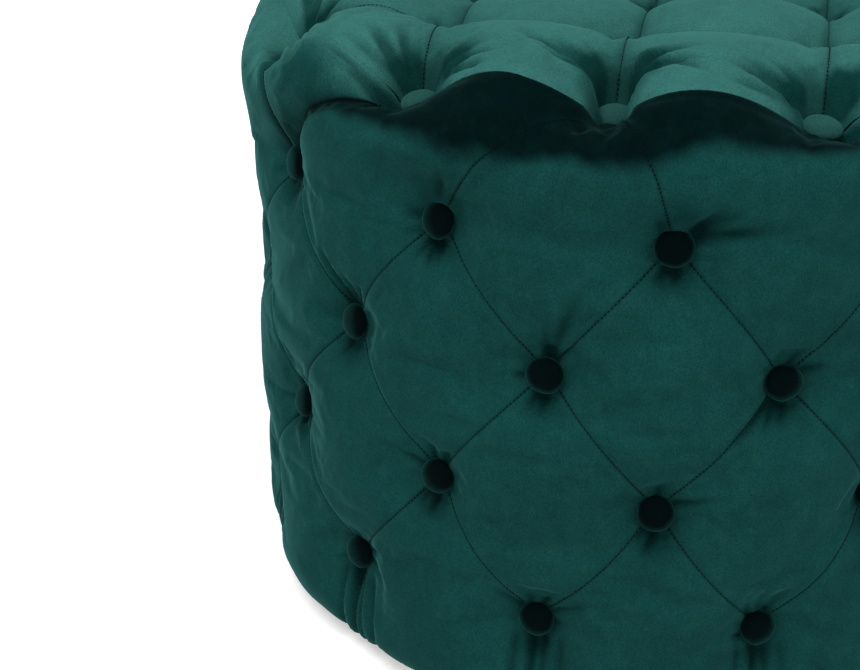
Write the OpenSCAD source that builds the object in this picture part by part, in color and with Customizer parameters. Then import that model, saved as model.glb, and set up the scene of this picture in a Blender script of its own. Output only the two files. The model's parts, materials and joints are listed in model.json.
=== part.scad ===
// Round deep-buttoned footstool: a plywood drum, foam and a quilted velvet cover
// Z is up, the origin is on the floor under the centre, and the front is -Y

/* [Overall] */
// Height from the floor to the crown of the top pillows
height = 430; // [410:1:470]
// Width across the crowns of the side pillows
body_d = 552; // [540:1:600]
// How far the rim pillows stand out past the side pillows
rim_swell = 4.6; // [2:0.1:8]
// Depth of the tufts on the widest line of the rolled edge
swell_tuft = 6; // [4:0.5:10]

/* [Tufting of the side] */
// Buttons around the drum in each side row
columns = 12; // [12:1:12]
// Depth of the side tufts, crown to the foot of a button
side_tuft = 16; // [12:0.5:18]
// Lift of a seam between two buttons, as a part of the pillow's lift
seam_lift = 0.45; // [0.3:0.01:0.5]
// Drop from the rim buttons' height to the first side row
first_drop = 57; // [50:1:70]
// Height of the lowest side row above the floor
low_row_z = 82; // [70:1:100]
// Turn of the side rows against the grid of the top, in degrees
side_turn = -6; // [-8:0.5:0]

/* [Tufting of the top] */
// Distance between the inner top buttons
top_pitch = 116; // [105:1:120]
// Distance of the four middle rim buttons in from the side's crowns
rim_mid_in = 60; // [54:1:68]
// Distance of the eight outer rim buttons in from the side's crowns
rim_out_in = 35.3; // [34:0.1:42]
// Angle between a middle rim button and the outer ones beside it, in degrees
rim_turn = 28.3; // [26:0.1:30]
// Depth of the top tufts, crown to the foot of a button
top_tuft = 44; // [40:1:50]
// Lift of a top seam over the foot of its buttons
top_seam = 24; // [18:1:28]
// Drop from the crown to the rim seam, midway between two buttons
rim_drop = 6; // [3:0.5:10]
// Width and height of the rolled edge, from the rim seam to the widest line
roll_w = 23.6; // [18:0.1:26]
roll_h = 46; // [40:1:52]

/* [Buttons] */
// Diameter and dome height of a covered button
button_d = 23; // [20:0.5:24]
button_h = 5; // [4:0.1:6]
// Lean of the rim buttons from upright, in degrees
rim_lean = 12; // [0:1:20]
// Diameter and thickness of a button's back plate
back_d = 14; // [12:0.5:16]
back_t = 1.5; // [1:0.1:2]

/* [Padding] */
// Thickness of the cover at the foot of a tuft
cover_t = 1.7; // [1.2:0.1:2]
// Thickness of the side foam
side_foam_t = 8.4; // [6:0.1:10]
// Thickness of the top foam
top_foam_t = 28; // [24:1:34]

/* [Frame] */
// Thickness of the plywood deck
deck_t = 12; // [9:1:15]
// Thickness of the plywood base
base_t = 12; // [9:1:18]
// Thickness of the hardboard wall
wall_t = 3; // [2.5:0.1:4]
// Uprights between base and deck
uprights = 6; // [6:1:6]
// Width around the drum and depth of an upright
upright_w = 40; // [30:1:45]
upright_d = 28; // [22:1:32]
// Space between the uprights and the wall, which clears the tie washers
upright_gap = 8; // [6:0.5:12]
// Angle of the first upright from the front, in degrees
upright_turn = 15; // [12:1:18]

/* [Fasteners] */
// Diameter, length and head diameter of the wood screws
screw_d = 4; // [3.5:0.1:4.5]
screw_l = 45; // [35:1:50]
screw_head_d = 8; // [7:0.1:9]
// Distance between an upright's two screws
screw_gap = 22; // [16:1:24]
// Diameter and length of the wall nails
nail_d = 1.8; // [1.4:0.1:2]
nail_l = 16; // [12:1:20]
// Head diameter and head thickness of the wall nails
nail_head_d = 5; // [4:0.1:6]
nail_head_t = 0.8; // [0.6:0.1:1]
// Nails in each row, into the deck's edge and into the base's edge
nails = 12; // [12:1:12]
// Crown width, leg length and wire diameter of the staples
staple_w = 10; // [8:0.5:12]
staple_leg = 7; // [5:0.5:8]
staple_wire = 0.9; // [0.7:0.1:1.1]
// Staples between two uprights, in the hem and in the dust cover
hem_staple_count = 4; // [3:1:5]
dust_staple_count = 3; // [2:1:4]

/* [Button ties] */
// Diameter of the twine, and of its hole in the cloth and the foam
tie_d = 2; // [1.5:0.1:2.4]
tie_hole_d = 3; // [2.8:0.1:3.6]
// Diameter and length of the knot
knot_d = 4.4; // [4:0.1:5]
knot_l = 3; // [2:0.1:4]
// Diameter and thickness of the washer that holds the knot
washer_d = 9; // [7:0.5:9]
washer_t = 1.5; // [1:0.1:2]

/* [Underside] */
// Height of the glides under the cloth
glide_h = 10; // [8:0.5:12]
// Diameter of a glide
glide_d = 34; // [28:1:36]
// Distance of the glides' centres in from the base's edge
glide_in = 52; // [52:1:60]
// Number of glides
glides = 6; // [6:1:6]
// Diameter and length of the glide screws
glide_screw_d = 3.5; // [3:0.1:4]
glide_screw_l = 16; // [14:0.5:18]
// Thickness of the turned-in hem
hem_t = 1.5; // [1:0.1:2]
// Height of the hem's rounded edge up the side, and how far its face lies in from the crowns
hem_rise = 13; // [10:1:16]
lower_in = 3.5; // [2:0.5:5]
// Radius of the hem's rounded edge
hem_round = 6; // [4:0.5:8]
// Width of the hem that is turned in under the base
hem_w = 43; // [40:1:45]
// Lap of the dust cover over the hem
dust_lap = 15; // [13:1:18]
// Thickness of the dust cover
dust_t = 0.6; // [0.5:0.1:0.8]
// Distance of the staples in from the edge of the base and from the edge of the dust cover
staple_in = 7; // [5:0.5:8]

/* [Fit] */
// Clearance between pieces that seat on each other
seat = 0.3; // [0.2:0.05:0.4]
// Clearance around a screw, nail or leg in its hole
hole_play = 0.2; // [0.1:0.05:0.3]

/* [Hidden] */
$fn = 64;
// Steps of the cover's mesh in half a column, and in each bay of the rim
half_steps = 3;
bay = 2 * half_steps;
around = columns * bay;
// Tuft rows down the side: the rim, then four rows of buttons
rows = 4;
side_levels = rows * half_steps;

crown_r = body_d / 2;
lower_r = crown_r - lower_in;
button_r = crown_r - side_tuft;
rim_mid = crown_r - rim_mid_in;
rim_out = crown_r - rim_out_in;
cover_in = button_r - cover_t;
foam_r = cover_in - seat;
wall_out = foam_r - side_foam_t - seat;
wall_in = wall_out - wall_t;
board_r = wall_in - seat;
glide_r = board_r - glide_in;
hem_in = foam_r - hem_w;
dust_r = hem_in + dust_lap;

dust_z = glide_h;
hem_z = dust_z + dust_t;
base_z = hem_z + hem_t;
base_top = base_z + base_t;
tuft_z = height - top_tuft;
cover_z = tuft_z - cover_t;
foam_top = cover_z - seat;
deck_top = foam_top - top_foam_t;
deck_z = deck_top - deck_t;
rim_z = height - rim_drop;
// The widest line of the rolled edge, how far down it lies, and the rim seam midway in a bay
roll_v = 2 / 3;
wide_r = crown_r + rim_swell;
wide_z = rim_z - roll_h;
seam_r = wide_r - roll_w;

// Heights of the tuft rows: the rim buttons' faces set the first drop
button_foot = 7;
side_foot = 2.6;
rim_button_z = tuft_z + button_foot;
first_row_z = rim_button_z - first_drop;
row_step = (first_row_z - low_row_z) / (rows - 1);
hem_top = base_z + hem_rise;

function lerp(a, b, f) = a + (b - a) * f;
function frac(a) = a - floor(a);
function polar(r, a, z) = [r * sin(a), -r * cos(a), z];
function turned(p, q) = q == 0 ? p : turned([-p[1], p[0]], q - 1);

// Lift inside one tufted cell: 0 at its corners, part of the way up on its seams, 1 at its crown
function puff(s) = sin(180 * frac(s));
function lift(s, t) = seam_lift * (puff(s) + puff(t)) + (1 - 2 * seam_lift) * puff(s) * puff(t);

// Rim buttons, numbered around from the front: three to a quarter turn
function rim_a(k) = 90 * floor(k / 3) + [0, rim_turn, 90 - rim_turn][k % 3];
function rim_xy(k) =
    let (r = k % 3 == 0 ? rim_mid : rim_out) [r * sin(rim_a(k)), -r * cos(rim_a(k))];

// The rim seam at step c around the drum, moved out by off
function rim_point(c, off = 0) =
    let (k = floor(c / bay), f = frac(c / bay), up = lift(f, f),
         r0 = norm(rim_xy(k)), r1 = norm(rim_xy(k + 1)))
    polar(lerp(lerp(r0, r1, f), seam_r, up) + off, lerp(rim_a(k), rim_a(k + 1), f),
          lerp(tuft_z, rim_z, up));

// Outline through the pillow crowns at v rows below the rim, and the tufts' depth there
function crown_line(v) =
    v >= 1 ? [crown_r, first_row_z - (v - 1) * row_step] :
    v > roll_v ? let (f = (v - roll_v) / (1 - roll_v))
        [lerp(wide_r, crown_r, f), lerp(wide_z, first_row_z, f)] :
    let (a = 90 * (1 - v / roll_v))
        [seam_r + roll_w * cos(a), wide_z + roll_h * sin(a)];
function tuft_depth(c, v) =
    let (f = frac(c / bay), k = floor(c / bay),
         rim = seam_r - lerp(norm(rim_xy(k)), norm(rim_xy(k + 1)), f))
    v >= 1 ? [side_tuft, 0] :
    [v > roll_v ? lerp(swell_tuft, side_tuft, (v - roll_v) / (1 - roll_v))
                : lerp(rim, swell_tuft, v / roll_v),
     max(0, lerp(rim_z - tuft_z, 0, v / roll_v))];
function row_angle(c) = 360 / around * c + side_turn;
function side_angle(c, v) =
    let (k = floor(c / bay), rim = lerp(rim_a(k), rim_a(k + 1), frac(c / bay)))
    v >= 1 ? row_angle(c) : lerp(rim, row_angle(c), v);
function side_point(c, m) =
    let (u = c / half_steps, v = m / half_steps,
         sink = 1 - lift(frac((u + v) / 2), frac((u - v) / 2)),
         crown = crown_line(v), depth = tuft_depth(c, v))
    polar(crown[0] - depth[0] * sink, side_angle(c, v), crown[1] - depth[1] * sink);

// One section of the side cover: the rim seam, the tufted face, the lower edge and the inside
function side_section(c) = concat(
    [rim_point(c, seat / 2)],
    [for (m = [1 : side_levels]) side_point(c, m)],
    [polar(lower_r, row_angle(c), hem_top), polar(cover_in, row_angle(c), hem_top),
     polar(cover_in, row_angle(c), cover_z - seat)],
    [let (p = rim_point(c, seat / 2)) [p[0], p[1], cover_z]]);

velvet = [0.09, 0.30, 0.27];
velvet_top = [0.24, 0.45, 0.42];
button_velvet = [0.05, 0.19, 0.17];
foam = [0.93, 0.89, 0.72];
birch = [0.79, 0.66, 0.48];
hardboard = [0.42, 0.29, 0.19];
steel = [0.66, 0.67, 0.69];
twine = [0.86, 0.84, 0.78];
black_cloth = [0.10, 0.10, 0.11];
black_plastic = [0.12, 0.12, 0.13];

// Faces of a closed loop of sections, the diagonals laid along the seams
module section_loop(sections) {
    count = len(sections);
    size = len(sections[0]);
    points = [for (s = sections) for (p = s) p];
    function at(c, m) = (c % count) * size + m % size;
    faces = [for (c = [0 : count - 1]) for (m = [0 : size - 1])
        let (a = at(c, m), b = at(c + 1, m), d = at(c, m + 1), e = at(c + 1, m + 1),
             falling = (floor(c / half_steps) + floor(m / half_steps)) % 2 == 0)
        each falling ? [[a, b, e], [a, e, d]] : [[a, b, d], [b, e, d]]];
    polyhedron(points, faces, convexity = 6);
}

// A cut through the cover: a prism around diameter d, turned away from the mesh's own lines
cut_turn = 8;
module cloth_cut(d, h, sides = 12)
    rotate([0, 0, cut_turn]) cylinder(d = d / cos(180 / sides), h = h, $fn = sides);

module tie_cut(h) cloth_cut(tie_hole_d, h, 6);

// The room that a button and its back plate take in the cloth
module button_pocket()
    translate([0, 0, -back_t - 2 * seat]) cloth_cut(button_d + 2 * seat, top_tuft);

module side_cover()
    color(velvet)
    difference() {
        section_loop([for (c = [0 : around - 1]) side_section(c)]);
        at_side(button_r + side_foot) button_pocket();
        at_side(wall_in) tie_cut(crown_r - wall_in);
        at_rim_buttons() button_pocket();
        at_top(deck_z) tie_cut(height - deck_z);
    }

// The top is a 2 by 2 block of square cells inside a ring of twelve bays
block = 2 * bay;
// How much flatter the four corner pillows are, which have only three buttons
corner_low = 4;
function block_z(i, j) =
    let (a = puff(i / bay), b = puff(j / bay))
    tuft_z + top_seam * (a + b) + (top_tuft - 2 * top_seam) * a * b;
function block_index(i, j) = i * (block + 1) + j;
// Where a ring step meets the block: the four corner bays close to a point
function inner_step(c) =
    let (k = floor(c / bay), i = c % bay, part = k % 3,
         p = part == 0 ? [i, -bay] : part == 1 ? [bay, -bay] : [bay, i - bay])
    turned(p, floor(k / 3) % 4);
function ring_point(c, m) =
    let (w = m / bay, s = frac(c / bay), rim = rim_point(c, -seat / 2),
         inner = inner_step(c) * top_pitch / bay,
         inner_seam = floor(c / bay) % 3 == 1 ? 0 : top_seam,
         rim_seam = rim_z - tuft_z,
         a = puff(s), b = puff(w),
         low = inner_seam == 0 ? corner_low : 0,
         crown = top_tuft - low - (inner_seam + rim_seam) / 2 - top_seam)
    [lerp(inner[0], rim[0], w), lerp(inner[1], rim[1], w),
     tuft_z + (1 - w) * inner_seam * a + w * rim_seam * lift(s, s) + top_seam * b + crown * a * b];

module top_cover() {
    block_points = [for (i = [0 : block]) for (j = [0 : block])
        [(i / bay - 1) * top_pitch, (j / bay - 1) * top_pitch, block_z(i, j)]];
    ring_points = [for (m = [1 : bay]) for (c = [0 : around - 1]) ring_point(c, m)];
    foot_points = [for (c = [0 : around - 1])
        let (p = rim_point(c, -seat / 2)) [p[0], p[1], cover_z]];
    first = len(block_points);
    foot = first + len(ring_points);
    centre = foot + around;
    function ring(c, m) =
        let (p = inner_step(c % around))
        m == 0 ? block_index(p[0] + bay, p[1] + bay) : first + (m - 1) * around + c % around;
    block_faces = [for (i = [0 : block - 1]) for (j = [0 : block - 1])
        let (a = block_index(i, j), b = block_index(i + 1, j),
             d = block_index(i, j + 1), e = block_index(i + 1, j + 1))
        each [[a, e, b], [a, d, e]]];
    ring_faces = [for (c = [0 : around - 1]) for (m = [0 : bay - 1])
        let (a = ring(c, m), b = ring(c + 1, m), d = ring(c, m + 1), e = ring(c + 1, m + 1))
        each concat(a == b ? [] : [[a, b, e]], [[a, e, d]])];
    wall_faces = [for (c = [0 : around - 1])
        let (a = ring(c, bay), b = ring(c + 1, bay), d = foot + c, e = foot + (c + 1) % around)
        each [[a, b, e], [a, e, d]]];
    foot_faces = [for (c = [0 : around - 1]) [centre, foot + c, foot + (c + 1) % around]];
    color(velvet_top)
    difference() {
        polyhedron(concat(block_points, ring_points, foot_points, [[0, 0, cover_z]]),
                   concat(block_faces, ring_faces, wall_faces, foot_faces), convexity = 6);
        at_rim_buttons() button_pocket();
        at_top_buttons() button_pocket();
        at_top(deck_z) tie_cut(height - deck_z);
    }
}

// The cover's lower edge, rounded and turned in under the base
module hem_ring() {
    round_r = lower_r - foam_r;
    rotate_extrude($fn = 96)
    difference() {
        union() {
            translate([foam_r + seat, hem_z])
                square([round_r - hem_round, hem_rise + hem_t - seat]);
            translate([foam_r + seat, hem_z + hem_round])
                square([round_r - seat, hem_rise + hem_t - seat - hem_round]);
            translate([lower_r - hem_round, hem_z + hem_round]) circle(r = hem_round, $fn = 48);
            translate([hem_in, hem_z]) square([foam_r + seat - hem_in + 1, hem_t - seat]);
        }
        translate([hem_in, base_z]) square([foam_r + seat - hem_in, hem_rise * 2]);
    }
}

// Places of the ties: rows around the side, and the grid and rim of the top
function side_row_z(row) = first_row_z - (row - 1) * row_step;
function side_row_angle(row, k) = row_angle(bay * k + (row % 2 == 1 ? half_steps : 0));
inner_grid = [for (x = [-1 : 1]) for (y = [-1 : 1]) [x, y] * top_pitch];
rim_grid = [for (k = [0 : columns - 1]) rim_xy(k)];

module at_row(row, r)
    for (k = [0 : columns - 1])
        rotate([0, 0, side_row_angle(row, k)])
        translate([0, -r, side_row_z(row)])
        rotate([90, 0, 0])
        children();

module at_side(r)
    for (row = [1 : rows]) at_row(row, r) children();

module at_top(z)
    for (p = concat(inner_grid, rim_grid)) translate([p[0], p[1], z]) children();

module top_foam()
    color(foam)
    difference() {
        translate([0, 0, deck_top]) cylinder(r = foam_r, h = top_foam_t, $fn = 128);
        at_top(deck_top - 1) cylinder(d = tie_hole_d, h = top_foam_t + 2, $fn = 16);
    }

module side_foam()
    color(foam)
    difference() {
        translate([0, 0, base_z]) cylinder(r = foam_r, h = deck_top - base_z - seat, $fn = 128);
        translate([0, 0, base_z - 1]) cylinder(r = wall_out + seat, h = deck_top, $fn = 128);
        at_side(wall_in) cylinder(d = tie_hole_d, h = 3 * side_foam_t, $fn = 16);
    }

module nail_hole() {
    cylinder(d = nail_d + hole_play, h = nail_l + 1, $fn = 16);
    translate([0, 0, -1]) cylinder(d = nail_head_d + hole_play, h = nail_head_t + 1.2, $fn = 24);
}

// Nails lie midway between the tie columns, in the middle of the deck's and the base's edges
module at_nails()
    for (z = [deck_z + deck_t / 2, base_z + base_t / 2])
        for (i = [0 : nails - 1])
            rotate([0, 0, (i + 0.25) * 360 / nails + side_turn])
            translate([0, -wall_out, z])
            rotate([-90, 0, 0])
            children();

module drum_wall()
    color(hardboard)
    difference() {
        translate([0, 0, base_z]) cylinder(r = wall_out, h = deck_top - base_z, $fn = 128);
        translate([0, 0, base_z - 1]) cylinder(r = wall_in, h = deck_top, $fn = 128);
        at_side(wall_in - 5) cylinder(d = 2 * tie_d, h = wall_t + 10, $fn = 16);
        at_nails() nail_hole();
    }

module wood_screw_shape(play = 0) {
    cone = (screw_head_d - screw_d) / 2;
    cylinder(d = screw_d + play, h = screw_l + play, $fn = 24);
    cylinder(d1 = screw_head_d + play, d2 = screw_d + play, h = cone, $fn = 24);
}

// Screws of the deck point down and screws of the base point up, two to an upright
upright_r = board_r - upright_gap - upright_d / 2;
function upright_a(i) = upright_turn + 360 / uprights * (i - 1);

module at_screws()
    for (i = [1 : uprights])
        for (side = [-1, 1])
            rotate([0, 0, upright_a(i)])
            translate([side * screw_gap / 2, -upright_r, 0])
            children();

module deck_screw_set(play = 0)
    at_screws() translate([0, 0, deck_top]) rotate([180, 0, 0]) wood_screw_shape(play);

module base_screw_set(play = 0)
    at_screws() translate([0, 0, base_z]) wood_screw_shape(play);

module upright(i) {
    color(birch)
    difference() {
        rotate([0, 0, upright_a(i)])
        translate([-upright_w / 2, -upright_r - upright_d / 2, base_top])
            cube([upright_w, upright_d, deck_z - base_top]);
        for (side = [-1, 1])
            rotate([0, 0, upright_a(i)])
            translate([side * screw_gap / 2, -upright_r, 0]) {
                translate([0, 0, deck_top - screw_l - hole_play])
                    cylinder(d = screw_d + hole_play, h = screw_l, $fn = 24);
                translate([0, 0, base_z + hole_play])
                    cylinder(d = screw_d + hole_play, h = screw_l, $fn = 24);
            }
    }
}

module top_deck()
    color(birch)
    difference() {
        translate([0, 0, deck_z]) cylinder(r = board_r, h = deck_t, $fn = 128);
        at_top(deck_z - 1) cylinder(d = 2 * tie_d, h = deck_t + 2, $fn = 16);
        deck_screw_set(hole_play);
        at_nails() nail_hole();
    }

function glide_a(i) = 360 / glides * (i - 0.5);

module at_glide(i, z = 0)
    rotate([0, 0, glide_a(i)]) translate([0, -glide_r, z]) children();

// The glide screw's head lies sunk in the glide, on a web of the glide's floor
glide_web = 5;
glide_screw_z = glide_h - glide_web;
glide_head_t = 1.8;
module glide_screw_shape(play = 0) {
    cylinder(d = glide_screw_d + play, h = glide_screw_l + play, $fn = 20);
    cylinder(d = 2 * glide_screw_d + play, h = glide_head_t + play, $fn = 20);
}

hem_staple_r = board_r - staple_in;
dust_staple_r = dust_r - staple_in;

// Staples lie evenly between the uprights, clear of their screws
module at_staples(count, r, z)
    for (i = [1 : uprights])
        for (j = [0.5 : count - 0.5])
            rotate([0, 0, upright_a(i) + 360 / uprights * j / count])
            translate([0, -r, z])
            children();

module staple_legs(play = 0)
    for (side = [-1, 1])
        translate([side * (staple_w - staple_wire) / 2, 0, 0])
            cylinder(d = staple_wire + play, h = staple_leg + play, $fn = 16);

// The flat crown of a staple lies mostly under the cloth, so only its lower face is proud
crown_t = 0.6;
crown_proud = 0.5;
module staple() {
    staple_legs();
    translate([-staple_w / 2, -staple_wire / 2, -crown_proud]) cube([staple_w, staple_wire, crown_t]);
}

// The cloth parts around the legs, by this much
leg_play = 1;
module leg_holes() translate([0, 0, -crown_t]) staple_legs(leg_play);

module base_board()
    color(birch)
    difference() {
        translate([0, 0, base_z]) cylinder(r = board_r, h = base_t, $fn = 128);
        base_screw_set(hole_play);
        for (i = [1 : glides]) at_glide(i, glide_screw_z) glide_screw_shape(hole_play);
        at_staples(hem_staple_count, hem_staple_r, hem_z) staple_legs(hole_play);
        at_staples(dust_staple_count, dust_staple_r, dust_z) staple_legs(hole_play);
        at_nails() nail_hole();
    }

module bottom_hem()
    color(velvet)
    difference() {
        hem_ring();
        at_staples(hem_staple_count, hem_staple_r, hem_z) leg_holes();
        at_staples(dust_staple_count, dust_staple_r, hem_z) leg_holes();
    }

module wall_nails()
    color(steel)
    at_nails()
    translate([0, 0, hole_play]) {
        cylinder(d = nail_d, h = nail_l, $fn = 16);
        cylinder(d = nail_head_d, h = nail_head_t, $fn = 24);
    }

// A covered button: a low dome with a short straight edge
module button() {
    edge = 1.6;
    bevel = 0.8;
    rise = button_h - edge;
    dome_r = (pow(button_d / 2, 2) + rise * rise) / (2 * rise);
    steps = 6;
    span = asin(button_d / 2 / dome_r);
    rotate_extrude($fn = 48)
    polygon(concat([[0, 0], [button_d / 2 - bevel, 0], [button_d / 2, bevel]],
        [for (i = [0 : steps]) let (a = span * (1 - i / steps))
            [dome_r * sin(a), button_h - dome_r * (1 - cos(a))]]));
}

module button_back()
    translate([0, 0, -back_t - seat / 2]) cylinder(d = back_d, h = back_t, $fn = 32);

// A rim button leans outward about the top of its tie
module at_rim_buttons()
    for (k = [0 : columns - 1])
        translate([rim_xy(k)[0], rim_xy(k)[1], rim_button_z])
        rotate([0, 0, rim_a(k)])
        rotate([rim_lean, 0, 0])
        children();

module at_top_buttons()
    for (p = inner_grid) translate([p[0], p[1], rim_button_z]) children();

module rim_buttons() color(button_velvet) at_rim_buttons() button();
module top_buttons() color(button_velvet) at_top_buttons() button();
module side_buttons(row) color(button_velvet) at_row(row, button_r + side_foot) button();

module top_button_backs()
    color(steel) {
        at_rim_buttons() button_back();
        at_top_buttons() button_back();
    }

module side_button_backs() color(steel) at_side(button_r + side_foot) button_back();

module tie(l) {
    cylinder(d = tie_d, h = l, $fn = 16);
    cylinder(d = knot_d, h = knot_l, $fn = 16);
}

module washer()
    difference() {
        cylinder(d = washer_d, h = washer_t, $fn = 24);
        translate([0, 0, -1]) cylinder(d = tie_d + 0.6, h = washer_t + 2, $fn = 16);
    }

tie_foot = washer_t + knot_l;
module top_ties()
    color(twine) at_top(deck_z - tie_foot) tie(rim_button_z - back_t - 2 * seat - deck_z + tie_foot);
module top_tie_washers() color(steel) at_top(deck_z - washer_t) washer();
washer_face = wall_in - seat;
module side_ties()
    color(twine)
    at_side(washer_face - tie_foot)
        tie(button_r + side_foot - back_t - 2 * seat - washer_face + tie_foot);
module side_tie_washers() color(steel) at_side(washer_face - washer_t) washer();

module hem_staples()
    color(steel) at_staples(hem_staple_count, hem_staple_r, hem_z) translate([0, 0, -0.1]) staple();

module dust_cover()
    color(black_cloth)
    difference() {
        translate([0, 0, dust_z]) cylinder(r = dust_r, h = dust_t, $fn = 128);
        for (i = [1 : glides]) at_glide(i, dust_z - 1) cylinder(d = boss_d + 2 * seat, h = dust_t + 2, $fn = 24);
        at_staples(dust_staple_count, dust_staple_r, dust_z) leg_holes();
    }

module dust_cover_staples()
    color(steel) at_staples(dust_staple_count, dust_staple_r, dust_z) translate([0, 0, -0.1]) staple();

// A glide: a low tapered foot with a boss up to the base and a sunk screw head
glide_taper = 3;
glide_draft = 2;
glide_sink_d = 9;
boss_d = 12;
module glide(i)
    color(black_plastic)
    at_glide(i)
    difference() {
        union() {
            cylinder(d1 = glide_d - 2 * glide_draft, d2 = glide_d, h = glide_taper, $fn = 48);
            translate([0, 0, glide_taper]) cylinder(d = glide_d, h = glide_h - glide_taper, $fn = 48);
            cylinder(d = boss_d, h = base_z, $fn = 32);
        }
        translate([0, 0, -1]) cylinder(d = glide_sink_d, h = glide_screw_z + 1, $fn = 32);
        cylinder(d = glide_screw_d + hole_play, h = base_z + 1, $fn = 20);
    }

module glide_screws()
    color(steel)
    for (i = [1 : glides])
        at_glide(i, glide_screw_z) {
            cylinder(d = glide_screw_d, h = glide_screw_l, $fn = 20);
            translate([0, 0, -glide_head_t])
                cylinder(d = 2 * glide_screw_d, h = glide_head_t, $fn = 20);
        }

top_cover();
side_cover();
bottom_hem();
top_foam();
side_foam();
top_deck();
base_board();
drum_wall();
for (i = [1 : uprights])
    upright(i);
color(steel) deck_screw_set();  // deck_screws
color(steel) base_screw_set();  // base_screws
wall_nails();
rim_buttons();
top_buttons();
for (i = [1 : rows])
    side_buttons(i);
top_button_backs();
side_button_backs();
top_ties();
side_ties();
top_tie_washers();
side_tie_washers();
hem_staples();
dust_cover();
dust_cover_staples();
for (i = [1 : glides])
    glide(i);
glide_screws();
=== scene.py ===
"""Looks of a round deep-buttoned footstool: velvet pillows, stitched seams, buttons and frame."""
import json
import math

import bmesh
import bpy
import numpy as np
from bpy.props import FloatProperty, FloatVectorProperty, IntProperty, PointerProperty
from mathutils import Matrix, Vector
from mathutils.kdtree import KDTree


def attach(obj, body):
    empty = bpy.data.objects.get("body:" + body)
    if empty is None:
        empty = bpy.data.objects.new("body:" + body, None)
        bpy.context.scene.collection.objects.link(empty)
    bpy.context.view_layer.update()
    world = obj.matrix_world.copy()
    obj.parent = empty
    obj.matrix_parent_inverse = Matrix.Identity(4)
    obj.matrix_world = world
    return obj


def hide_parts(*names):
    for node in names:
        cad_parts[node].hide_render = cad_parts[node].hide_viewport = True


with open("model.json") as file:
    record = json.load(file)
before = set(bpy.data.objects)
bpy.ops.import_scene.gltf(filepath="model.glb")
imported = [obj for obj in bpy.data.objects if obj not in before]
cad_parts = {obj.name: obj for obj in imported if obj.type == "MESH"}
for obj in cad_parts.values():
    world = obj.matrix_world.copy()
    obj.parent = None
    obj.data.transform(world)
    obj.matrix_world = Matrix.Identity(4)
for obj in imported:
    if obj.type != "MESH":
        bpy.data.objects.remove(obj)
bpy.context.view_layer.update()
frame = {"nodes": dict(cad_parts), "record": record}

bl_info = {
    "name": "Round Buttoned Footstool",
    "version": (1, 0, 0),
    "blender": (4, 5, 0),
    "location": "3D View > Sidebar > Footstool",
    "description": "Dresses the packed footstool with velvet, seams, buttons and wood",
    "category": "Add Mesh",
}

COLUMNS = 12
ROWS = 4
BAYS_IN_QUARTER = 3
BODY = "root"


def a_length(name, metres, description):
    return FloatProperty(name=name, description=description, default=metres, unit="LENGTH")


def an_angle(name, degrees, description):
    return FloatProperty(
        name=name, description=description, default=math.radians(degrees), subtype="ANGLE")


def a_count(name, count, most, description):
    return IntProperty(name=name, description=description, default=count, min=8, max=most)


def a_colour(name, linear, description):
    return FloatVectorProperty(
        name=name, description=description, default=linear, subtype="COLOR", size=3)


class FootstoolSizes(bpy.types.PropertyGroup):
    """Sizes of the cover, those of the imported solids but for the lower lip, in metres"""

    height: a_length("Height", 0.430, "Floor to the crown of the top pillows")
    body_d: a_length("Width", 0.552, "Across the crowns of the side pillows")
    rim_swell: a_length("Rim swell", 0.0046, "How far the rim pillows stand out past the side")
    swell_tuft: a_length(
        "Rim tuft", 0.006, "Depth of the tufts on the widest line of the rolled edge")
    side_tuft: a_length("Side tuft", 0.016, "Depth of the side tufts at a button's foot")
    first_row: a_length("First row", 0.336, "Height of the highest side row of buttons")
    low_row: a_length("Low row", 0.082, "Height of the lowest side row of buttons")
    side_turn: an_angle("Side turn", -6, "Turn of the side rows against the top's grid")
    top_pitch: a_length("Top pitch", 0.116, "Distance between the inner top buttons")
    rim_mid: a_length(
        "Middle rim buttons", 0.216, "Distance of the four middle rim buttons from the centre")
    rim_out: a_length(
        "Outer rim buttons", 0.2407, "Distance of the eight outer rim buttons from the centre")
    rim_turn: an_angle(
        "Outer rim buttons' angle", 28.3, "Angle between a middle rim button and the next")
    top_tuft: a_length("Top tuft", 0.044, "Depth of the top tufts at a button's foot")
    rim_drop: a_length("Rim drop", 0.006, "Drop from the crown to the rim seam midway in a bay")
    roll_w: a_length("Roll width", 0.0236, "From the rim seam out to the widest line")
    roll_h: a_length("Roll height", 0.046, "From the rim seam down to the widest line")
    front_lip: a_length(
        "Front lip", 0.0020, "How high the cloth stands up in front of a rim button")
    corner_fold: a_length(
        "Corner fold", 0.010, "Depth of the folds below each corner of the top's grid")
    seam_bow: a_length("Seam bow", 0.0024, "How far a side seam hangs off its straight line")
    button_d: a_length("Button", 0.023, "Diameter of a covered button")
    button_h: a_length("Button height", 0.005, "Height of a covered button's dome")
    rim_lean: an_angle("Rim button lean", 12, "Lean of the rim buttons from upright")
    stitch: a_length("Stitch", 0.0028, "Length of one stitch with its gap")
    side_steps: a_count("Side steps", 48, 64, "Mesh steps along one side of a pillow")
    top_steps: a_count("Top steps", 64, 80, "Mesh steps along one side of a top pillow")


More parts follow.
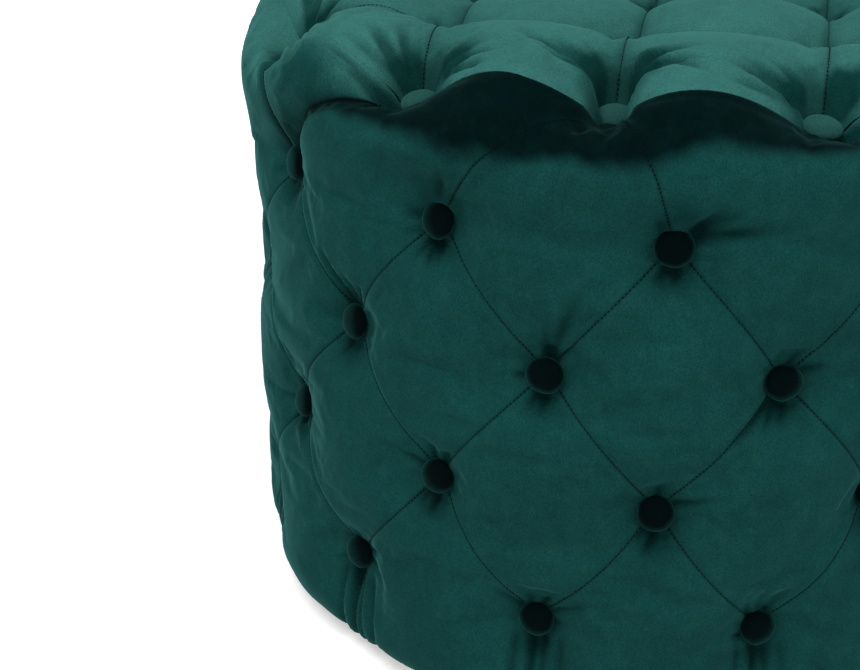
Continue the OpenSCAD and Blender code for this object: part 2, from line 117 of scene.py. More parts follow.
class FootstoolColours(bpy.types.PropertyGroup):
    """Colours of the finishes, linear"""

    velvet: a_colour("Velvet", (0.0052, 0.0480, 0.0450), "The side's velvet, seen with the pile")
    # Painted sheen: the velvet painted paler on the top, where its pile catches the light
    velvet_painted_sheen: a_colour(
        "Pale velvet", (0.0290, 0.1250, 0.1130), "The top's velvet, brushed against the pile")
    # Painted shade: the velvet painted near black in the band under the rim
    velvet_painted_shade: a_colour("Deep velvet", (0.0001, 0.0050, 0.0052), "The dark nap under the rim")
    # Painted shade: the side buttons' velvet painted near black where its pile faces the view
    button: a_colour(
        "Button velvet", (0.0001, 0.0026, 0.0028), "Velvet stretched over the side buttons")
    thread: a_colour("Thread", (0.0001, 0.0030, 0.0030), "The sewing thread of the seams")
    sheen: a_colour("Sheen", (0.10, 0.44, 0.42), "Light that the pile's tips throw back")


def sizes():
    return bpy.context.scene.footstool_sizes


def colours():
    return bpy.context.scene.footstool_colours


# Shape of the cover, as functions of the tuft lattice: u counts half columns around from the
# front, v counts rows down from the rim, and a button lies wherever u + v is even. A point's
# lattice place is a = (u + v) / 2 and b = (u - v) / 2, so that the seams lie on whole numbers

SEAM_LEVEL = 0.86
FULLNESS = 0.40
TOP_FULLNESS = 0.70
ROLL_V = 2 / 3
# Share of a tuft's depth that a button's own seat keeps, and the seat's inner and outer radius
SIDE_SEAT = 0.14
TOP_SEAT = 0.17
DENT_IN = 0.0070
DENT_OUT = 0.0140
# Reach of the soft hollow around a side button, and how steeply it rises
HOLLOW = 0.0190
HOLLOW_RISE = 1.3


def smooth_step(low, high, x):
    f = np.clip((x - low) / (high - low), 0, 1)
    return f * f * (3 - 2 * f)


def bell(x, width):
    return np.exp(-(x / width) ** 2)


def hollow(distance):
    """0 at a side button's seat and 1 on the cloth beyond its soft hollow."""
    return 1 - np.exp(-(np.clip(distance - DENT_IN, 0, None) / HOLLOW) ** HOLLOW_RISE)


def lerp(a, b, f):
    return a + (b - a) * f


def puff(s, fullness=FULLNESS):
    """0 at both ends of a cell's side and 1 in its middle."""
    return np.abs(np.sin(np.pi * s)) ** fullness


def polar(r, angle, z):
    return np.stack([r * np.sin(angle), -r * np.cos(angle), z], axis=-1)


def rim_table():
    """Radius and angle of the rim buttons, with the first again at the end to close the ring."""
    z = sizes()
    k = np.arange(COLUMNS + 1)
    part = k % BAYS_IN_QUARTER
    radii = np.where(part == 0, z.rim_mid, z.rim_out)
    angles = np.pi / 2 * (k // BAYS_IN_QUARTER) + np.choose(
        part, (0, z.rim_turn, np.pi / 2 - z.rim_turn))
    return radii, angles


# How the rim's three bays in a quarter lean towards its middle button, and how high they are
RIM_SKEW = (0.72, 1.0, 0.87)
RIM_PEAK = (0.96, 0.99, 1.05)


def rim_rise(k, f):
    """Height of the rim across bay k, at a part f of its length."""
    part = k % BAYS_IN_QUARTER
    skew, peak = np.choose(part, RIM_SKEW), np.choose(part, RIM_PEAK)
    g = np.where(part == 2, 1 - (1 - f) ** skew, f ** skew)
    return peak * np.sin(np.pi * g)


def rim_line(u):
    """Radius, angle, height and rise of the rim's fold at u."""
    z = sizes()
    radii, angles = rim_table()
    bays = np.floor(u / 2)
    k = bays.astype(int) % COLUMNS
    f = u / 2 - bays
    along = np.minimum(f, 1 - f) * (angles[k + 1] - angles[k]) * z.rim_mid
    rise = np.maximum(TOP_SEAT, rim_rise(k, f) * smooth_step(0, DENT_OUT, along))
    out = np.clip(rim_rise(k, f), 0, 1)
    seam_r = z.body_d / 2 + z.rim_swell - z.roll_w
    r = lerp(lerp(radii[k], radii[k + 1], f), seam_r, out)
    angle = lerp(angles[k], angles[k + 1], f) + 2 * np.pi * np.floor(bays / COLUMNS)
    return r, angle, z.height - z.top_tuft + (z.top_tuft - z.rim_drop) * rise, rise


def row_angle(u):
    return u * np.pi / COLUMNS + sizes().side_turn


def row_step():
    return (sizes().first_row - sizes().low_row) / (ROWS - 1)


def half_column():
    return sizes().body_d / 2 * np.pi / COLUMNS


def seam_side():
    """Length of one seam between two side buttons."""
    return math.hypot(half_column(), row_step())


# The rim's seams in one quarter turn: those that aren't sewn, and the folds around a corner

def unsewn_a(a, b):
    i, j = np.round(a), np.floor(b)
    return (i - j == 1) & (i % BAYS_IN_QUARTER == 1)


def unsewn_b(a, b):
    i, j = np.floor(a), np.round(b)
    return (i - j == 0) & (j % BAYS_IN_QUARTER == 2)


def corner_cell(a, b):
    """Part of a corner's own cell that lies above its two folds."""
    return (np.floor(a) == np.floor(b)) & (np.floor(a) % BAYS_IN_QUARTER == 1)


def corner_fold(a, b):
    """Distance from a corner's folds, in metres, and the place along them; far away elsewhere."""
    i, j = np.round(a), np.floor(b)
    on_a = (i - j == 1) & (i % BAYS_IN_QUARTER == 2)
    k, m = np.floor(a), np.round(b)
    on_b = (k - m == 0) & (m % BAYS_IN_QUARTER == 1)
    away = np.select([on_a, on_b], [a - i, m - b], 1.0) * seam_side()
    along = np.select([on_a, on_b], [b - j, a - k], 0.0)
    return away, along


def lift(a, b):
    """Lift inside a tufted cell: part of the way up on its seams and 1 at its crown."""
    s, t = puff(a), puff(b)
    s = np.where(unsewn_a(a, b), lerp(s, 1, puff(b, 0.5)), s)
    t = np.where(unsewn_b(a, b), lerp(t, 1, puff(a, 0.5)), t)
    return SEAM_LEVEL * (s + t) + (1 - 2 * SEAM_LEVEL) * s * t


def seam_distance(a, b):
    """Distance from the nearest sewn seam of the side, in metres."""
    off_a = np.abs(a - np.round(a))
    off_b = np.abs(b - np.round(b))
    off_a = np.where(unsewn_a(a, b), 1, off_a)
    off_b = np.where(unsewn_b(a, b), 1, off_b)
    inside = (a - b > 0) & (a - b < ROWS)
    return np.where(inside, np.minimum(off_a, off_b), 1) * seam_side()


def from_button(a, b):
    """Offset along the cloth from the nearest button, to the right and up, in metres."""
    s, t = a - np.floor(a), b - np.floor(b)
    v0 = np.floor(a) - np.floor(b)
    right, up = np.full(np.shape(a), 1.0), np.full(np.shape(a), 1.0)
    for i in (0, 1):
        for j in (0, 1):
            x = ((s - i) + (t - j)) * half_column()
            y = ((t - j) - (s - i)) * row_step()
            row = v0 + i - j
            nearer = (row >= -0.5) & (row <= ROWS + 0.5) & (np.hypot(x, y) < np.hypot(right, up))
            right, up = np.where(nearer, x, right), np.where(nearer, y, up)
    return right, up


# How far the seams of each row hang, as a part of the seam bow, and how much one seam's share
# may be: the least, and what chance adds
ROW_BOW = (-1.2, -1.0, -1.0, 0.5)
BOW_SHARE = (0.75, 0.5)


def seam_bow(row, column):
    """Bow of the seam that starts in a row and column, as a part of a cell's side."""
    amount = np.zeros(np.shape(row))
    for k, part in enumerate(ROW_BOW):
        amount = np.where(np.round(row) == k, part, amount)
    seam = np.round(2 * column) % (4 * COLUMNS)
    share = BOW_SHARE[0] + BOW_SHARE[1] * np.abs(np.sin(12.9898 * seam + 4.1 * row))
    return amount * share * sizes().seam_bow / seam_side()


def bowed(a, b):
    """u and v of a point once its cell's seams hang in their bows."""
    i, j = np.floor(a), np.floor(b)
    s, t = a - i, b - j
    across_s, across_t = np.sin(np.pi * s), np.sin(np.pi * t)
    upper_left = seam_bow(i - j - 1, i + j)
    lower_right = seam_bow(i + 1 - j - 1, i + 1 + j)
    lower_left = seam_bow(i - j, i + j + 0.5)
    upper_right = seam_bow(i - j - 1, i + j + 1.5)
    a2 = a + across_t * lerp(upper_left, lower_right, s)
    b2 = b - across_s * lerp(lower_left, upper_right, t)
    return a2 + b2, a2 - b2


# The lower edge: where the straight side ends, its rounding, and the flat turned-in hem
ROUND_Z = 0.042
HEM_Z = 0.0107
ROUND_W = 0.015
HEM_R = 0.222


def lower_reach():
    """Lengths down the cloth below the lowest row: the straight part, and the rounding."""
    straight = sizes().low_row - ROUND_Z
    bend = math.pi / 2 * math.sqrt(((ROUND_Z - HEM_Z) ** 2 + ROUND_W ** 2) / 2)
    return straight, bend


def lower_line(v):
    """Outline below the lowest row: down the side, round the edge and in under the base."""
    z = sizes()
    straight, bend = lower_reach()
    down = (v - ROWS) * row_step()
    turn = np.clip((down - straight) / bend, 0, 1) * np.pi / 2
    flat = np.clip(down - straight - bend, 0, None)
    r = z.body_d / 2 - ROUND_W * (1 - np.cos(turn)) - flat
    height = np.where(down < straight, z.low_row - down,
                      ROUND_Z - (ROUND_Z - HEM_Z) * np.sin(turn))
    return r, height, turn


def lowest_v():
    straight, bend = lower_reach()
    flat = sizes().body_d / 2 - ROUND_W - HEM_R
    return ROWS + (straight + bend + flat) / row_step()


# How deep the hem closes under a lowest button, and over what width
CLOSE = 0.22
CLOSE_WIDE = 0.016


def pleat_lift(u, v):
    """Lift below the lowest buttons: pillows that close in a pleat under each button."""
    straight, bend = lower_reach()
    x = np.abs(u % 2 - 1)
    e = puff((x + 1) / 2)
    above = 2 * SEAM_LEVEL * e + (1 - 2 * SEAM_LEVEL) * e * e
    below = 1 - CLOSE * bell((1 - x) * half_column(), CLOSE_WIDE)
    q = smooth_step(0, 1, (v - ROWS) * row_step() / (straight + 0.6 * bend))
    return lerp(above, below, q)


# Creases of the box pleat below each lowest button: offset, width and depth, in metres
PLEAT = ((-0.012, 0.0024, 0.0020), (-0.002, 0.0024, 0.0036), (0.0050, 0.0022, 0.0024),
         (0.015, 0.0026, 0.0018))
# Below the button, in metres: where they come in, where they lose half their depth, and how
# fast they spread apart and to where
PLEAT_IN = (0.006, 0.020)
PLEAT_HALVED = (0.06, 0.09)
PLEAT_SPREAD = (5, 0.06)


def pleats(u, v):
    """Depth of the box pleats' creases, from just under a lowest button to the hem."""
    x = ((u + 1) % 2 - 1) * half_column()
    down = (v - ROWS) * row_step()
    fade = smooth_step(*PLEAT_IN, down) * (1 - 0.5 * smooth_step(*PLEAT_HALVED, down))
    fast, end = PLEAT_SPREAD
    spread = 1 + fast * np.clip(down, 0, end)
    return fade * sum(depth * bell(x - place * spread, width) for place, width, depth in PLEAT)


# Folds that gather at a button: direction in degrees, as seen from outside with 0 to the right,
# then reach past its edge, depth and width in tenths of a millimetre. These lists, by half column
# and row, are for the side buttons that the front view shows best
FRONT_FOLDS = {
    (1, 1): ((47, 220, 14, 20), (35, 300, 14, 21), (18, 500, 15, 26), (-78, 140, 10, 24),
             (-104, 160, 11, 24), (150, 120, 8, 22)),
    (-1, 1): ((-74, 200, 12, 18), (-90, 270, 14, 18), (-106, 200, 12, 18), (100, 180, 8, 24),
              (190, 140, 10, 22), (-140, 200, 8, 22)),
    (0, 2): ((76, 620, 15, 28), (92, 360, 12, 24), (60, 240, 10, 22), (-82, 180, 12, 20),
             (-102, 160, 11, 20), (200, 140, 8, 22)),
    (2, 2): ((-125, 480, 14, 26), (-106, 260, 14, 20), (-86, 200, 12, 20), (80, 140, 8, 22),
             (30, 220, 9, 22)),
    (-2, 2): ((118, 500, 16, 26), (98, 300, 14, 22), (75, 340, 13, 22), (-100, 200, 10, 22)),
    (1, 3): ((-92, 200, 12, 20), (-112, 160, 11, 20), (95, 120, 8, 22), (28, 300, 10, 22)),
    (-1, 3): ((-88, 200, 12, 20), (-112, 200, 10, 20), (70, 180, 10, 24), (110, 160, 10, 22),
              (165, 240, 9, 22)),
}
# The same from a corner's rim button over the corner pillow, in degrees below the rim
CORNER_FOLDS = ((3, 520, 22, 26), (13, 580, 24, 26), (24, 440, 20, 26), (36, 280, 14, 24))
# The same from a rim button over its top pillows, as seen from above with 0 outward, to both sides
RIM_FOLDS = ((82, 500, 18, 34), (98, 560, 22, 34), (116, 440, 20, 32), (136, 340, 14, 30))
# How much deeper and wider than listed the folds are laid
FOLD_DEPTH = 2.1
FOLD_WIDTH = 1.65
# How far past a button's centre its folds begin, on the side and on the top
SIDE_FOLDS_START = 0.010
TOP_FOLDS_START = 0.012
# How far from a button its folds are looked for, and the shortest and longest chance folds
FOLDS_REACH = 0.075
TOP_FOLDS_REACH = 0.070
SHORTEST = 0.008
SIDE_LONGEST = 0.045
TOP_LONGEST = 0.040
# A fold bends off its straight line by this share of its reach, and fades after this share of it
FOLD_BEND = 0.12
FOLD_WHOLE = 0.35
# Where a fold comes in, about its start, and how much its middle gives to the ridges beside it
FOLD_IN = (-0.004, 0.003)
FOLD_RIDGES = 0.9
# The chance folds' depth and width, least and most
CHANCE_DEEP = (0.0005, 0.0011)
CHANCE_WIDE = (0.0018, 0.0026)
# Where the side's folds come in below the rim, in v, and the top's inside it, in metres
SIDE_FOLDS_IN = (0.005, 0.11)
TOP_FOLDS_IN = (0.0005, 0.009)


def metres(folds):
    """A list of folds with its lengths in metres."""
    return [(turn, reach / 1e4, deep / 1e4, width / 1e4) for turn, reach, deep, width in folds]


def random_folds(seed, count, longest):
    """Chance folds for one button, most of them short."""
    draw = np.random.default_rng(seed)
    folds = []
    for _ in range(count):
        turn = draw.uniform(0, 360)
        reach = SHORTEST + (longest - SHORTEST) * draw.random() ** 3
        folds.append((turn, reach, draw.uniform(*CHANCE_DEEP), draw.uniform(*CHANCE_WIDE)))
    return folds


def folded(x, y, folds, start):
    """Depth of a button's folds at an offset of x, y from it: a groove between two low ridges."""
    depth = np.zeros(np.shape(x))
    for turn, reach, deep, width in folds:
        c, s = math.cos(math.radians(turn)), math.sin(math.radians(turn))
        along = x * c + y * s
        off = (y * c - x * s + FOLD_BEND * along * along / reach) / (FOLD_WIDTH * width)
        fade = smooth_step(start + FOLD_IN[0], start + FOLD_IN[1], along) * (
            1 - smooth_step(start + FOLD_WHOLE * reach, start + reach, along))
        depth += FOLD_DEPTH * deep * fade * (1 - FOLD_RIDGES * off * off) * np.exp(-off * off)
    return depth


def side_folds(u, v):
    """Depth of all the side buttons' folds, which end short of the rim."""
    depth = np.zeros(np.shape(u))
    for row in range(ROWS + 1):
        for column in range(row % 2, 2 * COLUMNS, 2):
            part = column // 2 % BAYS_IN_QUARTER
            if row == 0 and part == 0:
                continue
            turn = (u - column + COLUMNS) % (2 * COLUMNS) - COLUMNS
            x, y = turn * half_column(), (row - v) * row_step()
            near = np.hypot(x, y) < FOLDS_REACH
            key = ((column + COLUMNS) % (2 * COLUMNS) - COLUMNS, row)
            if row == 0:
                folds = [(-below if part == 1 else below - 180, *rest)
                         for below, *rest in metres(CORNER_FOLDS)]
            elif key in FRONT_FOLDS:
                folds = metres(FRONT_FOLDS[key])
            else:
                folds = random_folds(100 * row + column, 7, SIDE_LONGEST)
            depth[near] += folded(x[near], y[near], folds, SIDE_FOLDS_START)
    return depth * smooth_step(*SIDE_FOLDS_IN, v)


# How far the notch at a rim button widens down the roll, in u
NOTCH_SPREAD = 0.45
# Shape of the lip before a rim button: how early it peaks, and how blunt it is
LIP_SKEW = 0.6
LIP_FULL = 0.8
CORNER_FOLD_WIDE = 0.009


def side_shape(a, b):
    """Points of the side cover at lattice places a, b."""
    z = sizes()
    crown = z.body_d / 2
    wide_r = crown + z.rim_swell
    wide_z = z.height - z.rim_drop - z.roll_h
    u, v = bowed(a, b)
    v = np.clip(v, 0, None)
    full = np.where(a - b > ROWS, pleat_lift(a + b, a - b), lift(a, b))
    full = lerp(SIDE_SEAT, full, hollow(np.hypot(*from_button(a, b))))
    rim_r, rim_angle, rim_z, rise = rim_line(u)
    share = np.clip(v / ROLL_V, 0, 1)
    spread = NOTCH_SPREAD * smooth_step(0, 0.6, share)
    left, right = rim_line(u - spread), rim_line(u + spread)
    rim_r = (2 * rim_r + left[0] + right[0]) / 4
    rim_z = (2 * rim_z + left[2] + right[2]) / 4

    turn = np.pi / 2 * (1 - share)
    lip = z.front_lip * np.clip(1 - rise, 0, 1) * np.sin(np.pi * share ** LIP_SKEW) ** LIP_FULL
    roll_r = rim_r + (wide_r - rim_r) * np.cos(turn) - z.swell_tuft * share * (1 - full)
    roll_z = wide_z + (rim_z - wide_z) * np.sin(turn) + lip

    f = np.clip((v - ROLL_V) / (1 - ROLL_V), 0, 1)
    tuft = lerp(z.swell_tuft, z.side_tuft, f)
    neck_r = lerp(wide_r, crown, smooth_step(0, 1, f)) - tuft * (1 - full)
    neck_z = lerp(wide_z, z.first_row, f)
    side_r = crown - z.side_tuft * (1 - full)
    side_z = z.first_row - (v - 1) * row_step()
    low_r, low_z, low_turn = lower_line(v)
    low_r = low_r - z.side_tuft * (1 - full) * np.cos(low_turn)

    parts = [v <= ROLL_V, v <= 1, v <= ROWS]
    r = np.select(parts, [roll_r, neck_r, side_r], low_r)
    height = np.select(parts, [roll_z, neck_z, side_z], low_z)
    tilt = np.select(parts, [turn, 0 * v, 0 * v], -low_turn)
    away, along = corner_fold(a, b)
    fold = z.corner_fold * bell(away, CORNER_FOLD_WIDE) * np.sin(np.pi * along) ** 0.5
    sink = fold + side_folds(u, v) + np.where(v > ROWS, pleats(u, v), 0)
    r, height = r - sink * np.cos(tilt), height - sink * np.sin(tilt)
    angle = np.where(v < 1, lerp(rim_angle, row_angle(u), np.clip(v, 0, 1)), row_angle(u))
    return polar(r, angle, height)


# Lift of the top's seams over their buttons' feet, and of its crowns
INNER_SEAM = 0.030
RADIAL_SEAM = 0.038
INNER_CROWN = 0.044
RING_CROWN = 0.047
CORNER_CROWN = 0.012


def top_plan():
    """Places in plan of the nine inner buttons and the twelve rim buttons."""
    pitch = sizes().top_pitch
    radii, angles = rim_table()
    inner = [(i * pitch, j * pitch) for i in (-1, 0, 1) for j in (-1, 0, 1)]
    rim = [(r * math.sin(t), -r * math.cos(t)) for r, t in zip(radii[:-1], angles[:-1])]
    return inner + rim


def top_square(cell, s, t):
    """Points of one of the four inner squares of the top."""
    pitch = sizes().top_pitch
    a, b = puff(s, TOP_FULLNESS), puff(t, TOP_FULLNESS)
    rise = INNER_SEAM * (a + b) + (INNER_CROWN - 2 * INNER_SEAM) * a * b
    return np.stack([(cell // 2 - 1 + s) * pitch, (cell % 2 - 1 + t) * pitch, rise], axis=-1)


def top_bay(k, s, w):
    """Points of rim bay k of the top, s along the rim and w from the inner buttons outward."""
    z = sizes()
    rim_r, rim_angle, rim_z, _ = rim_line(2 * (k + s))
    rim = polar(rim_r, rim_angle, rim_z)
    part = k % BAYS_IN_QUARTER
    one = np.ones(np.shape(s))
    x, y = ((s, -one), (one, -one), (one, s - 1))[part]
    for _ in range(k // BAYS_IN_QUARTER):
        x, y = -y, x
    b = puff(w, TOP_FULLNESS)
    rim_top = z.top_tuft - z.rim_drop
    seat = TOP_SEAT * rim_top
    over_rim = np.clip((rim_z - (z.height - z.top_tuft) - seat) / (rim_top - seat), 0, None)
    seam = w * seat + RADIAL_SEAM * b
    if part == 1:
        crown = rim_top * np.sin(np.pi / 2 * w) ** 0.4 + CORNER_CROWN * b
    else:
        crown = lerp(INNER_SEAM, rim_top, w) + (RING_CROWN - (INNER_SEAM + rim_top) / 2) * b
    rise = lerp(seam, crown, lerp(puff(s, TOP_FULLNESS), over_rim, w))
    return np.stack([lerp(x * z.top_pitch, rim[..., 0], w), lerp(y * z.top_pitch, rim[..., 1], w),
                     rise], axis=-1)


def inside_rim(x, y):
    """Distance in plan from the rim's fold line, inward."""
    r, angle, _, _ = rim_line(np.linspace(0, 2 * COLUMNS, 721))
    return np.interp(np.arctan2(x, -y) % (2 * np.pi), angle, r) - np.hypot(x, y)


INNER_BUTTONS = 9
# Shade around a rim button and an inner one: how dark, and how far it reaches from where it fades
RIM_SHADE = (0.75, 0.030)
INNER_SHADE = (0.60, 0.028)
SHADE_FROM = 0.010
# The patch of painted shade in the hollow beside a rim button: how dark, its place inward and to
# the right, its width
PAINTED_SHADE_PATCH = (0.95, 0.012, 0.014, 0.011)
# Depth of a crease that lies in full shade, how dark that is on the top and on the side, and how
# much paler a ridge may be
CREASE_DEEP = 0.003
TOP_CREASE = (0.8, -0.2)
SIDE_CREASE = (0.7, -0.15)


def crease_shade(depth, shade):
    dark, ridge = shade
    return dark * np.clip(depth / CREASE_DEEP, ridge, 1)


def top_folds(n):
    """The folds of the top's button n: chance ones inside, and varied listed ones on the rim."""
    if n < INNER_BUTTONS:
        return random_folds(900 + n, 6, TOP_LONGEST)
    draw = np.random.default_rng(700 + n)
    return [(side * turn + draw.uniform(-7, 7), reach * draw.uniform(0.7, 1.1), deep, width)
            for side in (1, -1) for turn, reach, deep, width in metres(RIM_FOLDS)]


def top_finished(points):
    """Seats the top around its buttons, lays their folds into it, and shades both."""
    z = sizes()
    x, y, rise = points.T
    depth = np.zeros(len(points))
    shade = np.zeros(len(points))
    nearest = np.full(len(points), 1.0)
    for n, (bx, by) in enumerate(top_plan()):
        dx, dy = x - bx, y - by
        d = np.hypot(dx, dy)
        nearest = np.minimum(nearest, d)
        near = d < TOP_FOLDS_REACH
        outward = math.atan2(by, bx)
        c, s = math.cos(outward), math.sin(outward)
        along, across = dx * c + dy * s, dy * c - dx * s
        depth[near] += folded(along[near], across[near], top_folds(n), TOP_FOLDS_START)
        dark, reach = INNER_SHADE if n < INNER_BUTTONS else RIM_SHADE
        shade = np.maximum(shade, dark * (1 - smooth_step(SHADE_FROM, reach, d)))
        if n >= INNER_BUTTONS:
            dark, inward, right, wide = PAINTED_SHADE_PATCH
            off = np.hypot(along + inward, across - right)
            shade = np.maximum(shade, dark * bell(off, wide))
    depth = depth * smooth_step(*TOP_FOLDS_IN, inside_rim(x, y))
    seat = TOP_SEAT * (z.top_tuft - z.rim_drop)
    rise = lerp(seat, rise, smooth_step(DENT_IN, DENT_OUT, nearest)) - depth
    shade = shade + crease_shade(depth, TOP_CREASE)
    return np.stack([x, y, z.height - z.top_tuft + rise], axis=-1), nearest, shade


# Mesh helpers

# Points nearer than this are one point, and a place inside every piece that faces point away from
WELD = 2e-5
MIDDLE = Vector((0, 0, 0.2))


def read_points(mesh):
    co = np.empty(len(mesh.vertices) * 3, np.float32)
    mesh.vertices.foreach_get("co", co)
    return co.reshape(-1, 3).astype(float)


def write_points(mesh, co):
    mesh.vertices.foreach_set("co", np.ascontiguousarray(co, np.float32).ravel())
    mesh.update()


def read_layer(mesh, name):
    values = np.empty(len(mesh.vertices), np.float32)
    mesh.attributes[name].data.foreach_get("value", values)
    return values.astype(float)


def write_layer(mesh, name, values):
    layer = mesh.attributes.get(name) or mesh.attributes.new(name, "FLOAT", "POINT")
    layer.data.foreach_set("value", np.ascontiguousarray(values, np.float32))


def finished(name, mesh, material, slot, nodes=()):
    """Links a piece, smooth-shaded, riding on the body and standing for its CAD nodes."""
    piece = bpy.data.objects.new(name, mesh)
    bpy.context.scene.collection.objects.link(piece)
    mesh.materials.append(material)
    mesh.shade_smooth()
    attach(piece, BODY)
    if nodes:
        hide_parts(*nodes)
    return piece


def mesh_from(bm, name):
    mesh = bpy.data.meshes.new(name)
    bm.to_mesh(mesh)
    bm.free()
    return mesh


def welded(mesh):
    """Merges the points that neighbouring pillows share."""
    bm = bmesh.new()
    bm.from_mesh(mesh)
    bmesh.ops.remove_doubles(bm, verts=bm.verts, dist=WELD)
    bm.to_mesh(mesh)
    bm.free()
    mesh.update()


def faces_outward(mesh):
    """Turns the faces so that they point away from the middle of the footstool."""
    bm = bmesh.new()
    bm.from_mesh(mesh)
    bmesh.ops.recalc_face_normals(bm, faces=bm.faces)
    if sum((f.calc_center_median() - MIDDLE).dot(f.normal) for f in bm.faces) < 0:
        bmesh.ops.reverse_faces(bm, faces=bm.faces)
    bm.to_mesh(mesh)
    bm.free()
    mesh.update()


def side_lattice(steps):
    """The side cover's lattice: a grid to a diamond, cut at the rim and at the hem's inner edge."""
    bm = bmesh.new()
    for row in range(ROWS + 3):
        for column in range((row + 1) % 2, 2 * COLUMNS, 2):
            bmesh.ops.create_grid(
                bm, x_segments=steps, y_segments=steps, size=0.5,
                matrix=Matrix.Translation(((column + row) / 2, (column - row) / 2, 0)))
    bmesh.ops.remove_doubles(bm, verts=bm.verts, dist=1e-4)
    for v, side in ((0, "clear_inner"), (lowest_v(), "clear_outer")):
        bmesh.ops.bisect_plane(
            bm, geom=bm.verts[:] + bm.edges[:] + bm.faces[:], dist=1e-5, plane_co=(v, 0, 0),
            plane_no=Vector((1, -1, 0)).normalized(), **{side: True})
    return mesh_from(bm, "side_cover")


# The cloth simulation: grid steps to a pillow, frames, and how far it may move a point, in metres
CLOTH_STEPS = 22
CLOTH_FRAMES = 20
CLOTH_REACH = 0.0030
CLOTH = {
    "vertex_group_mass": "pins", "quality": 5, "mass": 0.15, "tension_stiffness": 12,
    "compression_stiffness": 12, "shear_stiffness": 4, "bending_stiffness": 0.3,
    "shrink_min": -0.05, "use_pressure": True, "uniform_pressure_force": 4,
}
# Where the cloth goes from held to free: off a seam, a button, a pleat and the top's edge in
# metres, and off the side's upper and lower edge in rows
OFF_SEAM = (0.001, 0.006)
OFF_BUTTON = (0.011, 0.015)
OFF_PLEAT = (0.006, 0.016)
OFF_TOP_EDGE = (0.001, 0.010)
OFF_RIM = (0.02, 0.12)
OFF_HEM = (0.15, 0.27)


def settled(mesh, free):
    """How far a pressure simulation moves each point of a coarse cover, free from 0 held to 1."""
    faces_outward(mesh)
    rest = read_points(mesh)
    cloth = bpy.data.objects.new("cloth_trial", mesh)
    scene = bpy.context.scene
    scene.collection.objects.link(cloth)
    pins = cloth.vertex_groups.new(name="pins")
    for index, weight in enumerate(1 - free):
        pins.add([index], float(weight), "REPLACE")
    modifier = cloth.modifiers.new("cloth", "CLOTH")
    for key, value in CLOTH.items():
        setattr(modifier.settings, key, value)
    modifier.settings.effector_weights.gravity = 0
    modifier.collision_settings.use_collision = False
    modifier.point_cache.frame_start = 1
    modifier.point_cache.frame_end = CLOTH_FRAMES
    for number in range(1, CLOTH_FRAMES + 1):
        scene.frame_set(number)
    shaped = cloth.evaluated_get(bpy.context.evaluated_depsgraph_get())
    moved = read_points(shaped.data) - rest
    normals = np.array([tuple(vert.normal) for vert in mesh.vertices])
    scene.frame_set(1)
    bpy.data.objects.remove(cloth)
    bpy.data.meshes.remove(mesh)
    length = np.linalg.norm(moved, axis=1)
    if not length.max() > 0:
        raise RuntimeError("the cloth simulation moved nothing")
    out = (moved * normals).sum(axis=1)
    moved -= (out[free > 0.9].mean() * free)[:, None] * normals
    length = np.maximum(np.linalg.norm(moved, axis=1), 1e-9)
    moved *= (CLOTH_REACH * np.tanh(length / CLOTH_REACH) / length)[:, None]
    return moved * free[:, None]


def carried_over(places, moved, finer):
    """The movement at the finer points, weighed from the four nearest of the coarse ones."""
    tree = KDTree(len(places))
    for index, place in enumerate(places):
        tree.insert(place, index)
    tree.balance()
    found = [tree.find_n(point, 4) for point in finer]
    near = np.array([[n for _, n, _ in four] for four in found])
    apart = np.array([[distance for _, _, distance in four] for four in found])
    weights = 1 / (apart + 0.01 * apart.mean()) ** 2
    return (weights[..., None] * moved[near]).sum(axis=1) / weights.sum(axis=1)[:, None]


def side_creases(points):
    """What the simulation adds to the side at its points."""
    mesh = side_lattice(CLOTH_STEPS)
    a, b, _ = read_points(mesh).T
    u, v = a + b, a - b
    write_points(mesh, side_shape(a, b))
    free = smooth_step(*OFF_SEAM, seam_distance(a, b))
    free *= smooth_step(*OFF_BUTTON, np.hypot(*from_button(a, b)))
    free *= smooth_step(*OFF_RIM, v) * smooth_step(*OFF_HEM, lowest_v() - v)
    beside_pleat = smooth_step(*OFF_PLEAT, np.abs((u + 1) % 2 - 1) * half_column())
    write_layer(mesh, "free", np.where(v > ROWS, free * beside_pleat, free))
    welded(mesh)
    places = read_points(mesh)
    return carried_over(places, settled(mesh, read_layer(mesh, "free")), points)


def top_creases(points):
    """What the simulation adds to the top at its points."""
    mesh = top_lattice(CLOTH_STEPS)
    places, nearest, _ = top_finished(read_points(mesh))
    write_points(mesh, places)
    free = smooth_step(*OFF_SEAM, read_layer(mesh, "seam")) * smooth_step(*OFF_BUTTON, nearest)
    free *= smooth_step(*OFF_TOP_EDGE, inside_rim(places[:, 0], places[:, 1]))
    return carried_over(places, settled(mesh, free), points)


# Between these heights no crease goes in past the buttons' own foot, where the foam begins
FOAM_Z = (0.045, 0.375)
FOOT_R = 0.2592


def over_foam(points):
    """Keeps the creases out of the foam."""
    r = np.hypot(points[:, 0], points[:, 1])
    beside = (points[:, 2] > FOAM_Z[0]) & (points[:, 2] < FOAM_Z[1])
    points[:, :2] *= np.where(beside, np.maximum(1, FOOT_R / r), 1)[:, None]
    return points


# Added to a seam's distance in the deepest painted shade of the nap layer, where its line isn't
# seen, in metres
SEAM_UNSEEN = 0.003


